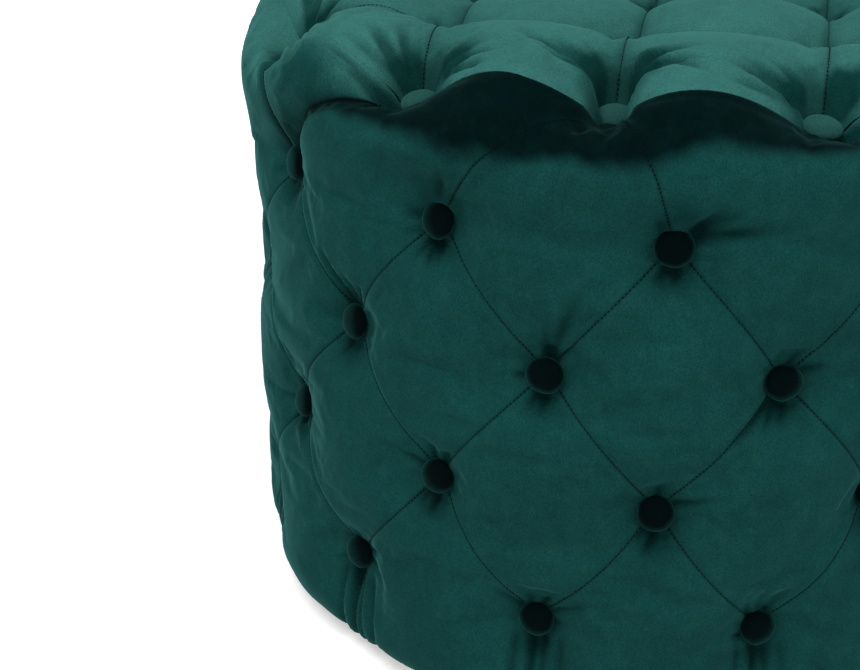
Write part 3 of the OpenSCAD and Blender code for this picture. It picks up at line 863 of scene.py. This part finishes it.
def side_mesh():
    """The side cover's mesh: its lattice in shape, with the creases that the simulation leaves."""
    mesh = side_lattice(sizes().side_steps)
    a, b, _ = read_points(mesh).T
    points = side_shape(a, b)
    points = points + side_creases(points)
    points = over_foam(points)
    painted_nap_sheen = side_painted_sheen(points, a, b)
    unseen = SEAM_UNSEEN * smooth_step(0.25, 0.05, painted_nap_sheen)
    write_layer(mesh, "seam", seam_distance(a, b) + unseen)
    write_layer(mesh, "painted_nap_sheen", painted_nap_sheen)
    write_layer(mesh, "shade", side_shade(a, b))
    write_points(mesh, points)
    welded(mesh)
    return mesh


def top_lattice(steps):
    """The top cover's pillows, not yet seated: four squares inside a ring of twelve bays."""
    bm = bmesh.new()
    seam = bm.verts.layers.float.new("seam")
    for cell in range(4 + COLUMNS):
        made = bmesh.ops.create_grid(
            bm, x_segments=steps, y_segments=steps, size=0.5,
            matrix=Matrix.Translation((0.5, 0.5, 0)))["verts"]
        s, t = np.array([v.co[:2] for v in made]).T
        points = top_square(cell, s, t) if cell < 4 else top_bay(cell - 4, s, t)
        to_edge = np.minimum(s, 1 - s)
        if cell < 4:
            to_edge = np.minimum(to_edge, np.minimum(t, 1 - t))
        elif (cell - 4) % BAYS_IN_QUARTER != 1:
            to_edge = np.minimum(to_edge, t)
        for vert, point, edge in zip(made, points, to_edge):
            vert.co = point
            vert[seam] = edge * sizes().top_pitch
    bmesh.ops.remove_doubles(bm, verts=bm.verts, dist=WELD)
    return mesh_from(bm, "top_cover")


# Shade in a top seam: how dark and how wide, and how much of it goes, from and to these distances
# of a button
VALLEY = (0.42, 0.007)
VALLEY_GOES = (0.6, 0.020, 0.070)


def top_mesh():
    """The top cover's mesh: its pillows in shape, with the creases that the simulation leaves."""
    mesh = top_lattice(sizes().top_steps)
    points, nearest, shade = top_finished(read_points(mesh))
    points = points + top_creases(points)
    write_layer(mesh, "painted_nap_sheen", top_painted_sheen(nearest))
    dark, wide = VALLEY
    valley = dark * bell(read_layer(mesh, "seam"), wide)
    share, *ends = VALLEY_GOES
    valley *= 1 - share * smooth_step(*ends, nearest)
    write_layer(mesh, "shade", np.clip(np.maximum(shade, valley), 0, 1))
    write_points(mesh, points)
    return mesh


# Outline of a covered button from its crown to its back, as parts of its radius and height
DOME = ((0, 1.0), (0.3, 0.97), (0.55, 0.87), (0.75, 0.70), (0.90, 0.45), (0.985, 0.15),
        (1.0, -0.10), (0.96, -0.30), (0.84, -0.42), (0, -0.44))
DOME_STEPS = 28
# Its unevenness: how far it is out of round, how far its edge waves, and lifts in metres, and
# how many degrees it leans
OVAL = 0.03
EDGE_WAVE = 0.02
EDGE_LIFT = 0.0004
BUTTON_TILT = 5


def add_dome(bm, matrix, draw):
    """Adds one covered button: a spun dome with a rolled edge, a little uneven."""
    z = sizes()
    r = z.button_d / 2
    first = [bm.verts.new((x * r, 0, h * z.button_h)) for x, h in DOME]
    edges = [bm.edges.new(pair) for pair in zip(first, first[1:])]
    before = set(bm.verts) - set(first)
    bmesh.ops.spin(bm, geom=first + edges, axis=(0, 0, 1), cent=(0, 0, 0), dvec=(0, 0, 0),
                   angle=2 * math.pi, steps=DOME_STEPS, use_merge=True)
    made = [v for v in bm.verts if v not in before]
    stretch = 1 + draw.uniform(-OVAL, OVAL)
    lobes = draw.uniform(0, 6.28, 3)
    for vert in made:
        x, y, h = vert.co
        turn = math.atan2(y, x)
        edge = min(math.hypot(x, y) / r, 1) ** 4
        wave = sum(math.sin((3 + 2 * n) * turn + phase) for n, phase in enumerate(lobes)) / 3
        out = 1 + EDGE_WAVE * wave * edge
        vert.co = (x * stretch * out, y / stretch * out, h + EDGE_LIFT * wave * edge)
    bmesh.ops.transform(bm, matrix=matrix, verts=made)


def buttons_mesh(name, places):
    """One mesh of covered buttons, given as places and outward directions."""
    bm = bmesh.new()
    draw = np.random.default_rng(len(name) + sum(map(ord, name)))
    for place, out in places:
        facing = Vector(out).to_track_quat("Z", "Y").to_matrix().to_4x4()
        for axis in "XY":
            lean = math.radians(draw.uniform(-BUTTON_TILT, BUTTON_TILT))
            facing = facing @ Matrix.Rotation(lean, 4, axis)
        add_dome(bm, Matrix.Translation(place) @ facing, draw)
    bmesh.ops.remove_doubles(bm, verts=bm.verts, dist=1e-5)
    bmesh.ops.recalc_face_normals(bm, faces=bm.faces)
    return mesh_from(bm, name)


# How far the side buttons look up, as the rise of their facing, and how far the middle of a side
# and of a top button's dome lies off the cloth's seat, in metres
SIDE_LEAN = 0.21
SIDE_BUTTON_OUT = 0.0024
TOP_BUTTON_UP = 0.0022


def button_places():
    """Places and outward directions of the buttons of each CAD node."""
    z = sizes()
    seat = z.height - z.top_tuft + TOP_SEAT * (z.top_tuft - z.rim_drop) + TOP_BUTTON_UP
    plan = top_plan()
    rim = []
    for x, y in plan[INNER_BUTTONS:]:
        turn = math.atan2(x, -y)
        lean = math.sin(z.rim_lean)
        out = (lean * math.sin(turn), -lean * math.cos(turn), math.cos(z.rim_lean))
        rim.append(((x, y, seat), out))
    top = [((x, y, seat), (0, 0, 1)) for x, y in plan[:INNER_BUTTONS]]
    places = {"rim_buttons": rim, "top_buttons": top}
    foot = z.body_d / 2 - z.side_tuft * (1 - SIDE_SEAT) + SIDE_BUTTON_OUT
    for row in range(1, ROWS + 1):
        turns = [row_angle(u) for u in range(row % 2, 2 * COLUMNS, 2)]
        places[f"side_buttons_row_{row}"] = [
            ((foot * math.sin(t), -foot * math.cos(t), z.first_row - (row - 1) * row_step()),
             (math.sin(t), -math.cos(t), SIDE_LEAN)) for t in turns]
    return places


# A stitch: the share of its length that is gap, half its thickness, and the cloth left unsewn at
# each end of a seam, in metres
STITCH_GAP = 0.40
STITCH_WIDE = 0.00046
SEAM_ENDS = 0.0125
SEAM_POINTS = 60


def stitches_along(points):
    """Places and directions of the stitches on one seam, given as points along it."""
    steps = np.linalg.norm(np.diff(points, axis=0), axis=1)
    length = np.concatenate([[0], np.cumsum(steps)])
    count = int((length[-1] - 2 * SEAM_ENDS) / sizes().stitch)
    middles = length[-1] / 2 + (np.arange(count) - (count - 1) / 2) * sizes().stitch
    spots = np.stack([np.interp(middles, length, points[:, n]) for n in range(3)], axis=-1)
    ahead = np.stack([np.interp(middles + 0.001, length, points[:, n]) for n in range(3)], axis=-1)
    return spots, ahead - spots


def side_seams():
    """Points along each sewn seam of the side."""
    t = np.linspace(0, 1, SEAM_POINTS)
    for row in range(ROWS):
        for column in range(row % 2, 2 * COLUMNS, 2):
            a0, b0 = (column + row) / 2, (column - row) / 2
            if not unsewn_b(a0 + 0.5, b0):
                yield side_shape(a0 + t, b0 + 0 * t)
            if not unsewn_a(a0, b0 - 0.5):
                yield side_shape(a0 + 0 * t, b0 - t)


def top_seams():
    """Points along each sewn seam of the top."""
    t = np.linspace(0, 1, SEAM_POINTS)
    lines = [top_bay(k, 0 * t, t) for k in range(COLUMNS)]
    lines += [top_bay(k, t, 0 * t) for k in range(COLUMNS) if k % BAYS_IN_QUARTER != 1]
    lines += [top_square(0, 1 + 0 * t, t), top_square(0, t, 1 + 0 * t)]
    lines += [top_square(3, 0 * t, t), top_square(3, t, 0 * t)]
    for line in lines:
        yield top_finished(line)[0]


def stitches_mesh(name, seams):
    """One mesh of all the stitches: short rounded threads that lie in the seams."""
    size = Matrix.Diagonal((sizes().stitch * (1 - STITCH_GAP) / 2, STITCH_WIDE, STITCH_WIDE, 1))
    one_seam = bpy.data.meshes.new("one_seam")
    bm = bmesh.new()
    for points in seams:
        sewn = bmesh.new()
        for spot, ahead in zip(*stitches_along(points)):
            turned = Vector(ahead).to_track_quat("X", "Z").to_matrix().to_4x4()
            bmesh.ops.create_icosphere(
                sewn, subdivisions=1, radius=1.0, matrix=Matrix.Translation(spot) @ turned @ size)
        sewn.to_mesh(one_seam)
        sewn.free()
        bm.from_mesh(one_seam)
    bpy.data.meshes.remove(one_seam)
    return mesh_from(bm, name)


# Materials

def new_material(name):
    material = bpy.data.materials.new(name)
    material.use_nodes = True
    tree = material.node_tree
    return material, tree, tree.nodes["Principled BSDF"]


def fill(tree, socket, value):
    """Wires a socket to another, or gives it a value."""
    if isinstance(value, bpy.types.NodeSocket):
        tree.links.new(value, socket)
    else:
        socket.default_value = value


def set_up(tree, node, **named):
    """Fills a node's inputs or sets its settings by name; an underscore reads as a space."""
    for key, value in named.items():
        title = key.replace("_", " ")
        if title in node.inputs:
            fill(tree, node.inputs[title], value)
        else:
            setattr(node, key, value)
    return node


def node_of(tree, kind, *in_order, **named):
    """Adds a node, with its inputs filled by name or in their order."""
    node = set_up(tree, tree.nodes.new(kind), **named)
    for socket, value in zip(node.inputs, in_order):
        fill(tree, socket, value)
    return node


def place_of(tree):
    return node_of(tree, "ShaderNodeTexCoord").outputs["Object"]


def layer_of(tree, name):
    return node_of(tree, "ShaderNodeAttribute", attribute_name=name).outputs["Fac"]


def facing_of(tree):
    return node_of(tree, "ShaderNodeLayerWeight", Blend=0.5).outputs["Facing"]


def math_of(tree, operation, *values):
    return node_of(tree, "ShaderNodeMath", *values, operation=operation).outputs["Value"]


def range_of(tree, value, **ends):
    return node_of(tree, "ShaderNodeMapRange", Value=value, **ends).outputs["Result"]


def noise_of(tree, vector, scale, detail=3.0, roughness=0.5):
    return node_of(tree, "ShaderNodeTexNoise", Vector=vector, Scale=scale, Detail=detail,
                   Roughness=roughness).outputs["Fac"]


def mapped(tree, source, scale):
    return node_of(tree, "ShaderNodeMapping", Vector=source, Scale=scale).outputs["Vector"]


def ramp_of(tree, factor, stops):
    ramp = node_of(tree, "ShaderNodeValToRGB", Fac=factor)
    elements = ramp.color_ramp.elements
    while len(elements) < len(stops):
        elements.new(0.5)
    for element, (position, colour) in zip(elements, stops):
        element.position = position
        element.color = (*colour, 1.0)
    return ramp.outputs["Color"]


def multiplied(tree, first, second):
    """The product of two colours."""
    return node_of(tree, "ShaderNodeMix", data_type="RGBA", blend_type="MULTIPLY", Factor=1.0,
                   A=first, B=second).outputs["Result"]


def bump_of(tree, height, distance, strength, **under):
    return node_of(tree, "ShaderNodeBump", Height=height, Distance=distance, Strength=strength,
                   **under).outputs["Normal"]


def toned(colour, factor):
    return tuple(min(part * factor, 1.0) for part in colour)


# The pile: scales of its tufts and of its brushed streaks on the object's axes, and of its clouds
PILE = (1100, 1100, 800)
BRUSHED = (110, 110, 45)
CLOUDS = 16.0
# Depth of its bump and how strongly that shows
PILE_BUMP = (0.0004, 0.35)


def pile_shade(tree, place, base):
    """Lays the pile's mottling, its brushed streaks and soft clouds over a base colour."""
    pile = noise_of(tree, mapped(tree, place, PILE), 1.0, 2.0, 0.6)
    brushed = noise_of(tree, mapped(tree, place, BRUSHED), 1.0, 4.0, 0.55)
    clouds = noise_of(tree, place, CLOUDS)
    for factor, depth in ((pile, 0.26), (brushed, 0.06), (clouds, 0.12)):
        shade = ramp_of(tree, factor, [(0.30, (1 - depth,) * 3), (0.70, (1 + depth,) * 3)])
        base = multiplied(tree, base, shade)
    return base, pile


def velvet_sheen(tree, shader, weight):
    set_up(tree, shader, Roughness=0.9, Specular_IOR_Level=0.03, Sheen_Weight=weight,
           Sheen_Roughness=0.35, Sheen_Tint=(*colours().sheen, 1.0))


# How much a noise ruffles the painted sheen and shade of the nap layer, so that its marks end
# unevenly
RUFFLE = 0.16
RUFFLE_SCALE = 90.0
# Painted sheen: pile that is seen edge-on is painted paler, from this turn on, and by this much at
# most
EDGE_FROM = 0.62
EDGE_PAINTED_SHEEN = 0.26
# Distances from a seam over which the velvet dips and darkens, and how deep the dip looks
SEAM_NEAR = 0.0002
SEAM_FAR = 0.0016
SEAM_BUMP = (0.0010, 0.5)
COVER_SHEEN = 0.26
BUTTON_SHEEN = 0.14
WHITE = (1.0, 1.0, 1.0)


def velvet_material(name):
    """Short-pile velvet: painted sheen and shade, mottled pile, dark seams and a pale sheen."""
    colour = colours()
    material, tree, shader = new_material(name)
    place, painted_nap_sheen = place_of(tree), layer_of(tree, "painted_nap_sheen")
    painted_sheen = range_of(tree, facing_of(tree), From_Min=EDGE_FROM, To_Max=EDGE_PAINTED_SHEEN)
    lifted = math_of(tree, "MULTIPLY_ADD", painted_nap_sheen, painted_sheen, painted_nap_sheen)
    ruffle = noise_of(tree, place, RUFFLE_SCALE, 6.0, 0.65)
    ruffled = math_of(tree, "MULTIPLY_ADD", ruffle, RUFFLE, lifted)
    # Painted sheen and shade: near black where the nap layer is low, the side's green in the
    # middle, the top's paler green at its top
    base = ramp_of(tree, ruffled, [
        (0.5 * RUFFLE, colour.velvet_painted_shade), (0.5 + 0.5 * RUFFLE, colour.velvet),
        (1.0, colour.velvet_painted_sheen)])
    base, pile = pile_shade(tree, place, base)
    beside_seam = range_of(tree, layer_of(tree, "seam"), From_Min=SEAM_NEAR, From_Max=SEAM_FAR)
    line = ramp_of(tree, beside_seam, [
        (0.0, (0.55, 0.60, 0.60)), (0.35, (0.80, 0.83, 0.83)), (1.0, WHITE)])
    # Painted shade from the shade layer: hollows at the buttons, folds and creases
    gloom = ramp_of(tree, layer_of(tree, "shade"), [(0.0, WHITE), (1.0, (0.10, 0.26, 0.26))])
    dark = multiplied(tree, multiplied(tree, base, line), gloom)
    groove = bump_of(tree, beside_seam, *SEAM_BUMP)
    set_up(tree, shader, Base_Color=dark, Normal=bump_of(tree, pile, *PILE_BUMP, Normal=groove))
    velvet_sheen(tree, shader, COVER_SHEEN)
    return material


def button_material(name, face, rim):
    """Velvet stretched over a button, painted from its face's turn and colour to its rim's, paler
    as painted sheen.
    """
    material, tree, shader = new_material(name)
    tone = ramp_of(tree, facing_of(tree), [face, rim])
    base, pile = pile_shade(tree, place_of(tree), tone)
    set_up(tree, shader, Base_Color=base, Normal=bump_of(tree, pile, *PILE_BUMP))
    velvet_sheen(tree, shader, BUTTON_SHEEN)
    return material


def thread_material():
    material, tree, shader = new_material("sewing_thread")
    twist = noise_of(tree, place_of(tree), 2500.0, 1.0)
    thread = colours().thread
    shade = ramp_of(tree, twist, [(0.3, toned(thread, 0.6)), (0.7, toned(thread, 1.5))])
    set_up(tree, shader, Base_Color=shade, Roughness=0.8, Specular_IOR_Level=0.05)
    return material


def wood_material(name, light, dark, grain_scale):
    """Plywood or board: long grain along X with fine pores."""
    material, tree, shader = new_material(name)
    place = place_of(tree)
    grain = noise_of(tree, mapped(tree, place, (4, 70, 70)), grain_scale, 5.0, 0.6)
    pores = noise_of(tree, mapped(tree, place, (60, 900, 900)), 1.0, 2.0)
    shade = ramp_of(tree, grain, [(0.25, dark), (0.75, light)])
    fine = ramp_of(tree, pores, [(0.35, (0.82, 0.80, 0.78)), (0.6, WHITE)])
    set_up(tree, shader, Base_Color=multiplied(tree, shade, fine), Roughness=0.7,
           Normal=bump_of(tree, pores, 0.0003, 0.3))
    return material


def plain_material(name, colour, roughness, metallic, scale, depth):
    """A finish of one colour with fine mottling: foam, steel, twine, cloth or plastic."""
    material, tree, shader = new_material(name)
    fine = noise_of(tree, place_of(tree), scale, 3.0, 0.6)
    shade = ramp_of(tree, fine, [(0.3, toned(colour, 0.82)), (0.7, toned(colour, 1.12))])
    set_up(tree, shader, Base_Color=shade, Roughness=roughness, Metallic=metallic,
           Normal=bump_of(tree, fine, depth, 0.4))
    return material


def direct_rays(tree):
    """1 on the rays that show the stage itself: from the camera, or by way of gloss or glass."""
    path = node_of(tree, "ShaderNodeLightPath").outputs
    seen = math_of(tree, "MAXIMUM", path["Is Camera Ray"], path["Is Glossy Ray"])
    return math_of(tree, "MAXIMUM", seen, path["Is Transmission Ray"])


# The nap layer holds painted sheen and shade: 0 is painted shade where the pile is seen end on, 0.5
# the side's green and 1 the top's green made pale by painted sheen

# Where the band of painted shade under the rim ends: places u around the front, and how far down v
# it reaches
BAND_U = (-2.6, -2.0, -1.5, -0.9, -0.4, 0.0, 0.5, 1.0, 1.7, 2.4, 3.2)
BAND_V = (0.50, 0.50, 0.54, 0.63, 0.67, 0.56, 0.60, 0.50, 0.40, 0.44, 0.50)
# Half the width of its soft edge and of the ripple along it, in v
BAND_SOFT = 0.09
BAND_RIPPLE = 0.035
# The angle that its side faces, in radians from the front, and how narrow that side is
BAND_MIDDLE = 0.45
BAND_NARROW = 1.08
# Width of the strip of painted shade along a corner's folds, in metres
STRIP = 0.016
# How much painted sheen makes the cloth under the rim paler than the side, away from the band
BEYOND = 0.40
# The painted shade mark on the front left corner pillow: its place u and v, its reach in each, and
# how dark it is
PAINTED_SHADE_MARK = (-2.90, 0.36, 0.55, 0.26, 0.52)
# Heights between which painted sheen turns a corner pillow from the side's green to the top's paler
# green
CORNER_PALE = (0.360, 0.415)


def ripple(angle, z):
    """A small uneven wave that keeps the edges of the painted sheen and shade marks from being
    lines.
    """
    return (np.sin(angle * 17 + 1) + 0.6 * np.sin(angle * 41 + 2)
            + 0.4 * np.sin(angle * 97 + z * 300)) / 2


def side_painted_sheen(co, a, b):
    """Painted sheen and shade of the side at its points co, whose lattice places are a, b."""
    angle = np.arctan2(co[:, 0], -co[:, 1]) % (2 * np.pi)
    around = (a + b + COLUMNS) % (2 * COLUMNS) - COLUMNS
    v = a - b
    edge = np.interp(around, BAND_U, BAND_V) + BAND_RIPPLE * ripple(angle, co[:, 2])
    off_middle = (angle - BAND_MIDDLE + np.pi) % (2 * np.pi) - np.pi
    facing = smooth_step(0, 0.25, np.cos(BAND_NARROW * off_middle))
    band = (1 - smooth_step(edge - BAND_SOFT, edge + BAND_SOFT, v)) * facing
    away, along = corner_fold(a, b)
    strip = (away > -0.001) * (1 - smooth_step(0.5 * STRIP, STRIP, away))
    strip = strip * smooth_step(0, 0.2, along)
    beyond = BEYOND * (1 - smooth_step(0.25, 1.0, v)) * (1 - facing)
    painted_nap_sheen = 0.5 + beyond - 0.5 * np.maximum(band, 0.9 * strip)
    mark_u, mark_v, reach_u, reach_v, dark = PAINTED_SHADE_MARK
    mark = dark * bell(around - mark_u, reach_u) * bell(v - mark_v, reach_v)
    corner = 0.5 + 0.5 * smooth_step(*CORNER_PALE, co[:, 2]) - mark
    return np.where(corner_cell(a, b), corner, painted_nap_sheen)


# Shade below a side button: how dark, how far below, its half width and half height. Then that of
# the ring around it: how dark, its radius and half width
UNDER = (0.80, 0.017, 0.013, 0.011)
RING = (0.45, 0.011, 0.006)


def side_shade(a, b):
    """How dark the cloth lies in the hollow under each button and in its folds and pleats."""
    x, y = from_button(a, b)
    away_from = np.hypot(x, y)
    dark, below, wide, high = UNDER
    under = dark * bell(x, wide) * bell(y + below, high)
    dark, reach = RIM_SHADE
    foot = dark * (1 - smooth_step(SHADE_FROM, reach, away_from))
    under = np.where(corner_cell(a, b), foot, under)
    dark, radius, wide = RING
    hollows = np.maximum(under, dark * bell(away_from - radius, wide))
    u, v = bowed(a, b)
    creases = side_folds(u, v) + np.where(v > ROWS, pleats(u, v), 0)
    away, along = corner_fold(a, b)
    corner = bell(away, 0.004) * np.sin(np.pi * along) ** 0.5
    return np.clip(hollows + crease_shade(creases, SIDE_CREASE) + corner, 0, 1)


# The top's painted sheen at a button, lower there as painted shade, and the distances over which it
# grows paler away from one, in metres
TOP_SHEEN_AT_BUTTON = 0.80
TOP_PALES = (0.012, 0.045)


def top_painted_sheen(nearest):
    """Painted sheen of the top, weaker near a button, by the distance from its nearest button."""
    return TOP_SHEEN_AT_BUTTON + 0.2 * smooth_step(*TOP_PALES, nearest)


# Operators

# The stage: the camera's place, heading and pitch in degrees, lens and sensor in millimetres
CAMERA_PLACE = (0.089, -1.0586, 0.6444)
CAMERA_TURN = (-13.09, 24.64)
CAMERA_LENS = 64.4
CAMERA_SENSOR = 36.0
# The floor's glow, from beside the footstool out to where no horizon is to show, in metres
GLOW = {"From_Min": 0.6, "From_Max": 2.2, "To_Min": 0.45, "To_Max": 1.1}
FLOOR_GREY = 0.86
SOFT_LIGHT = 0.50
# The lamps: name, place, watts and size
LAMPS = (("key", (-0.5, -1.2, 2.4), 40.0, 1.2), ("fill", (2.2, -1.6, 1.0), 14.0, 1.4))


def aimed(name, data, place, direction):
    """Adds a camera or a lamp that looks in a direction."""
    made = bpy.data.objects.new(name, data)
    made.location = place
    made.rotation_euler = direction.to_track_quat("-Z", "Y").to_euler()
    bpy.context.scene.collection.objects.link(made)
    return made


class FOOTSTOOL_OT_stage(bpy.types.Operator):
    """Adds the pale floor, the soft studio light and the camera at the photograph's angle"""

    bl_idname = "footstool.stage"
    bl_label = "Stage"

    def execute(self, context):
        self.camera(context)
        self.floor(context)
        self.lights(context)
        context.scene.view_settings.view_transform = "Standard"
        return {"FINISHED"}

    def camera(self, context):
        heading, pitch = map(math.radians, CAMERA_TURN)
        data = bpy.data.cameras.new("camera")
        data.sensor_width = CAMERA_SENSOR
        data.lens = CAMERA_LENS
        level = math.cos(pitch)
        ahead = Vector((math.sin(heading) * level, math.cos(heading) * level, -math.sin(pitch)))
        context.scene.camera = aimed("camera", data, CAMERA_PLACE, ahead)

    def floor(self, context):
        material, tree, shader = new_material("floor_white")
        set_up(tree, shader, Base_Color=(*toned(WHITE, FLOOR_GREY), 1.0), Roughness=0.9)
        away = node_of(tree, "ShaderNodeVectorMath", place_of(tree), operation="LENGTH")
        glow = node_of(tree, "ShaderNodeEmission",
                       Strength=range_of(tree, away.outputs["Value"], **GLOW))
        lit = shader.outputs["BSDF"]
        both = node_of(tree, "ShaderNodeAddShader", lit, glow.outputs["Emission"])
        mix = node_of(tree, "ShaderNodeMixShader", direct_rays(tree), lit, both.outputs["Shader"])
        tree.links.new(mix.outputs["Shader"], tree.nodes["Material Output"].inputs["Surface"])
        bm = bmesh.new()
        bmesh.ops.create_grid(bm, x_segments=8, y_segments=8, size=6.0)
        mesh = mesh_from(bm, "floor")
        mesh.materials.append(material)
        floor = bpy.data.objects.new("floor", mesh)
        context.scene.collection.objects.link(floor)

    def lights(self, context):
        world = bpy.data.worlds.new("studio")
        context.scene.world = world
        world.use_nodes = True
        tree = world.node_tree
        soft = set_up(tree, tree.nodes["Background"], Color=(*WHITE, 1.0), Strength=SOFT_LIGHT)
        white = node_of(tree, "ShaderNodeBackground", Color=(*WHITE, 1.0), Strength=1.0)
        mix = node_of(tree, "ShaderNodeMixShader", direct_rays(tree), soft.outputs["Background"],
                      white.outputs["Background"])
        tree.links.new(mix.outputs["Shader"], tree.nodes["World Output"].inputs["Surface"])
        for name, place, power, size in LAMPS:
            lamp = bpy.data.lights.new(name, "AREA")
            lamp.energy = power
            lamp.size = size
            aimed(name, lamp, place, Vector((0, 0, 0.25)) - Vector(place))


class FOOTSTOOL_OT_covers(bpy.types.Operator):
    """Makes the velvet covers of the side and the top, pillow by pillow"""

    bl_idname = "footstool.covers"
    bl_label = "Velvet Covers"

    def execute(self, context):
        for name, mesh, slot, nodes in (
                ("side_cover_velvet", side_mesh(), "velvet_side", ("side_cover", "bottom_hem")),
                ("top_cover_velvet", top_mesh(), "velvet_top", ("top_cover",))):
            faces_outward(mesh)
            piece = finished(name, mesh, velvet_material(slot), slot, nodes)
        return {"FINISHED"}


class FOOTSTOOL_OT_buttons(bpy.types.Operator):
    """Makes the velvet-covered buttons of the top, the rim and the four side rows"""

    bl_idname = "footstool.buttons"
    bl_label = "Covered Buttons"

    def execute(self, context):
        colour = colours()
        # Painted shade and sheen: side buttons near black on their faces and greener at their rims,
        # rim and top buttons painted pale like the top
        dark = button_material(
            "button_velvet", (0.22, colour.button), (0.74, toned(colour.velvet, 0.7)))
        painted_sheen = button_material(
            "button_velvet_painted_sheen", (0.20, toned(colour.velvet_painted_sheen, 0.48)),
            (0.95, toned(colour.velvet_painted_sheen, 0.7)))
        for node, places in button_places().items():
            on_side = node.startswith("side")
            finished(node + "_covered", buttons_mesh(node, places), dark if on_side else painted_sheen,
                     "velvet_button" if on_side else "velvet_top", (node,))
        return {"FINISHED"}


class FOOTSTOOL_OT_stitches(bpy.types.Operator):
    """Sews the seams: single stitches of thread along each seam of the side and the top"""

    bl_idname = "footstool.stitches"
    bl_label = "Seam Stitches"

    def execute(self, context):
        thread = thread_material()
        for part, seams in (("side", side_seams()), ("top", top_seams())):
            name = part + "_stitches"
            finished(name, stitches_mesh(name, seams), thread, "velvet_" + part)
        return {"FINISHED"}


# Woods by slot: material, light and dark of its grain, and the grain's scale
WOODS = {
    "plywood": ("birch_plywood", (0.62, 0.45, 0.27), (0.42, 0.27, 0.14), 1.0),
    "hardboard": ("hardboard", (0.22, 0.12, 0.06), (0.12, 0.065, 0.032), 3.0),
}
# Other finishes by slot: material, colour, roughness, metallic, and the mottling's scale and depth
PLAIN_FINISHES = {
    "foam": ("foam", (0.84, 0.77, 0.48), 0.9, 0.0, 900.0, 0.0006),
    "steel": ("zinc_steel", (0.60, 0.61, 0.63), 0.35, 1.0, 400.0, 0.0001),
    "twine": ("waxed_twine", (0.70, 0.67, 0.58), 0.7, 0.0, 1500.0, 0.0004),
    "dust_cloth": ("dust_cloth", (0.012, 0.012, 0.013), 0.9, 0.0, 1200.0, 0.0003),
    "glide_plastic": ("glide_plastic", (0.015, 0.015, 0.016), 0.45, 0.0, 700.0, 0.0001),
}


class FOOTSTOOL_OT_frame_finish(bpy.types.Operator):
    """Gives the inner frame, padding, fasteners and glides their finishes"""

    bl_idname = "footstool.frame_finish"
    bl_label = "Frame Finishes"

    def execute(self, context):
        finishes = {slot: wood_material(*values) for slot, values in WOODS.items()}
        finishes |= {slot: plain_material(*values) for slot, values in PLAIN_FINISHES.items()}
        slots = {part["node"]: part["material_slot"] for part in frame["record"]["subparts"]}
        for name, node in frame["nodes"].items():
            if not node.hide_render:
                node.data.materials.clear()
                node.data.materials.append(finishes[slots[name]])
        return {"FINISHED"}


class FOOTSTOOL_PT_panel(bpy.types.Panel):
    """Lists the footstool's operators and sizes"""

    bl_idname = "FOOTSTOOL_PT_panel"
    bl_label = "Footstool"
    bl_space_type = "VIEW_3D"
    bl_region_type = "UI"
    bl_category = "Footstool"

    def draw(self, context):
        layout = self.layout
        for name in ("height", "body_d", "side_tuft", "top_tuft", "button_d"):
            layout.prop(context.scene.footstool_sizes, name)
        for operator in OPERATORS:
            layout.operator(operator.bl_idname)


OPERATORS = (
    FOOTSTOOL_OT_stage,
    FOOTSTOOL_OT_covers,
    FOOTSTOOL_OT_buttons,
    FOOTSTOOL_OT_stitches,
    FOOTSTOOL_OT_frame_finish,
)
CLASSES = (FootstoolSizes, FootstoolColours, *OPERATORS, FOOTSTOOL_PT_panel)


def register():
    for kind in CLASSES:
        bpy.utils.register_class(kind)
    bpy.types.Scene.footstool_sizes = PointerProperty(type=FootstoolSizes)
    bpy.types.Scene.footstool_colours = PointerProperty(type=FootstoolColours)


def unregister():
    del bpy.types.Scene.footstool_colours
    del bpy.types.Scene.footstool_sizes
    for kind in reversed(CLASSES):
        bpy.utils.unregister_class(kind)


def main():
    register()
    bpy.ops.footstool.stage()
    bpy.ops.footstool.covers()
    bpy.ops.footstool.buttons()
    bpy.ops.footstool.stitches()
    bpy.ops.footstool.frame_finish()


if __name__ == "__main__":
    main()
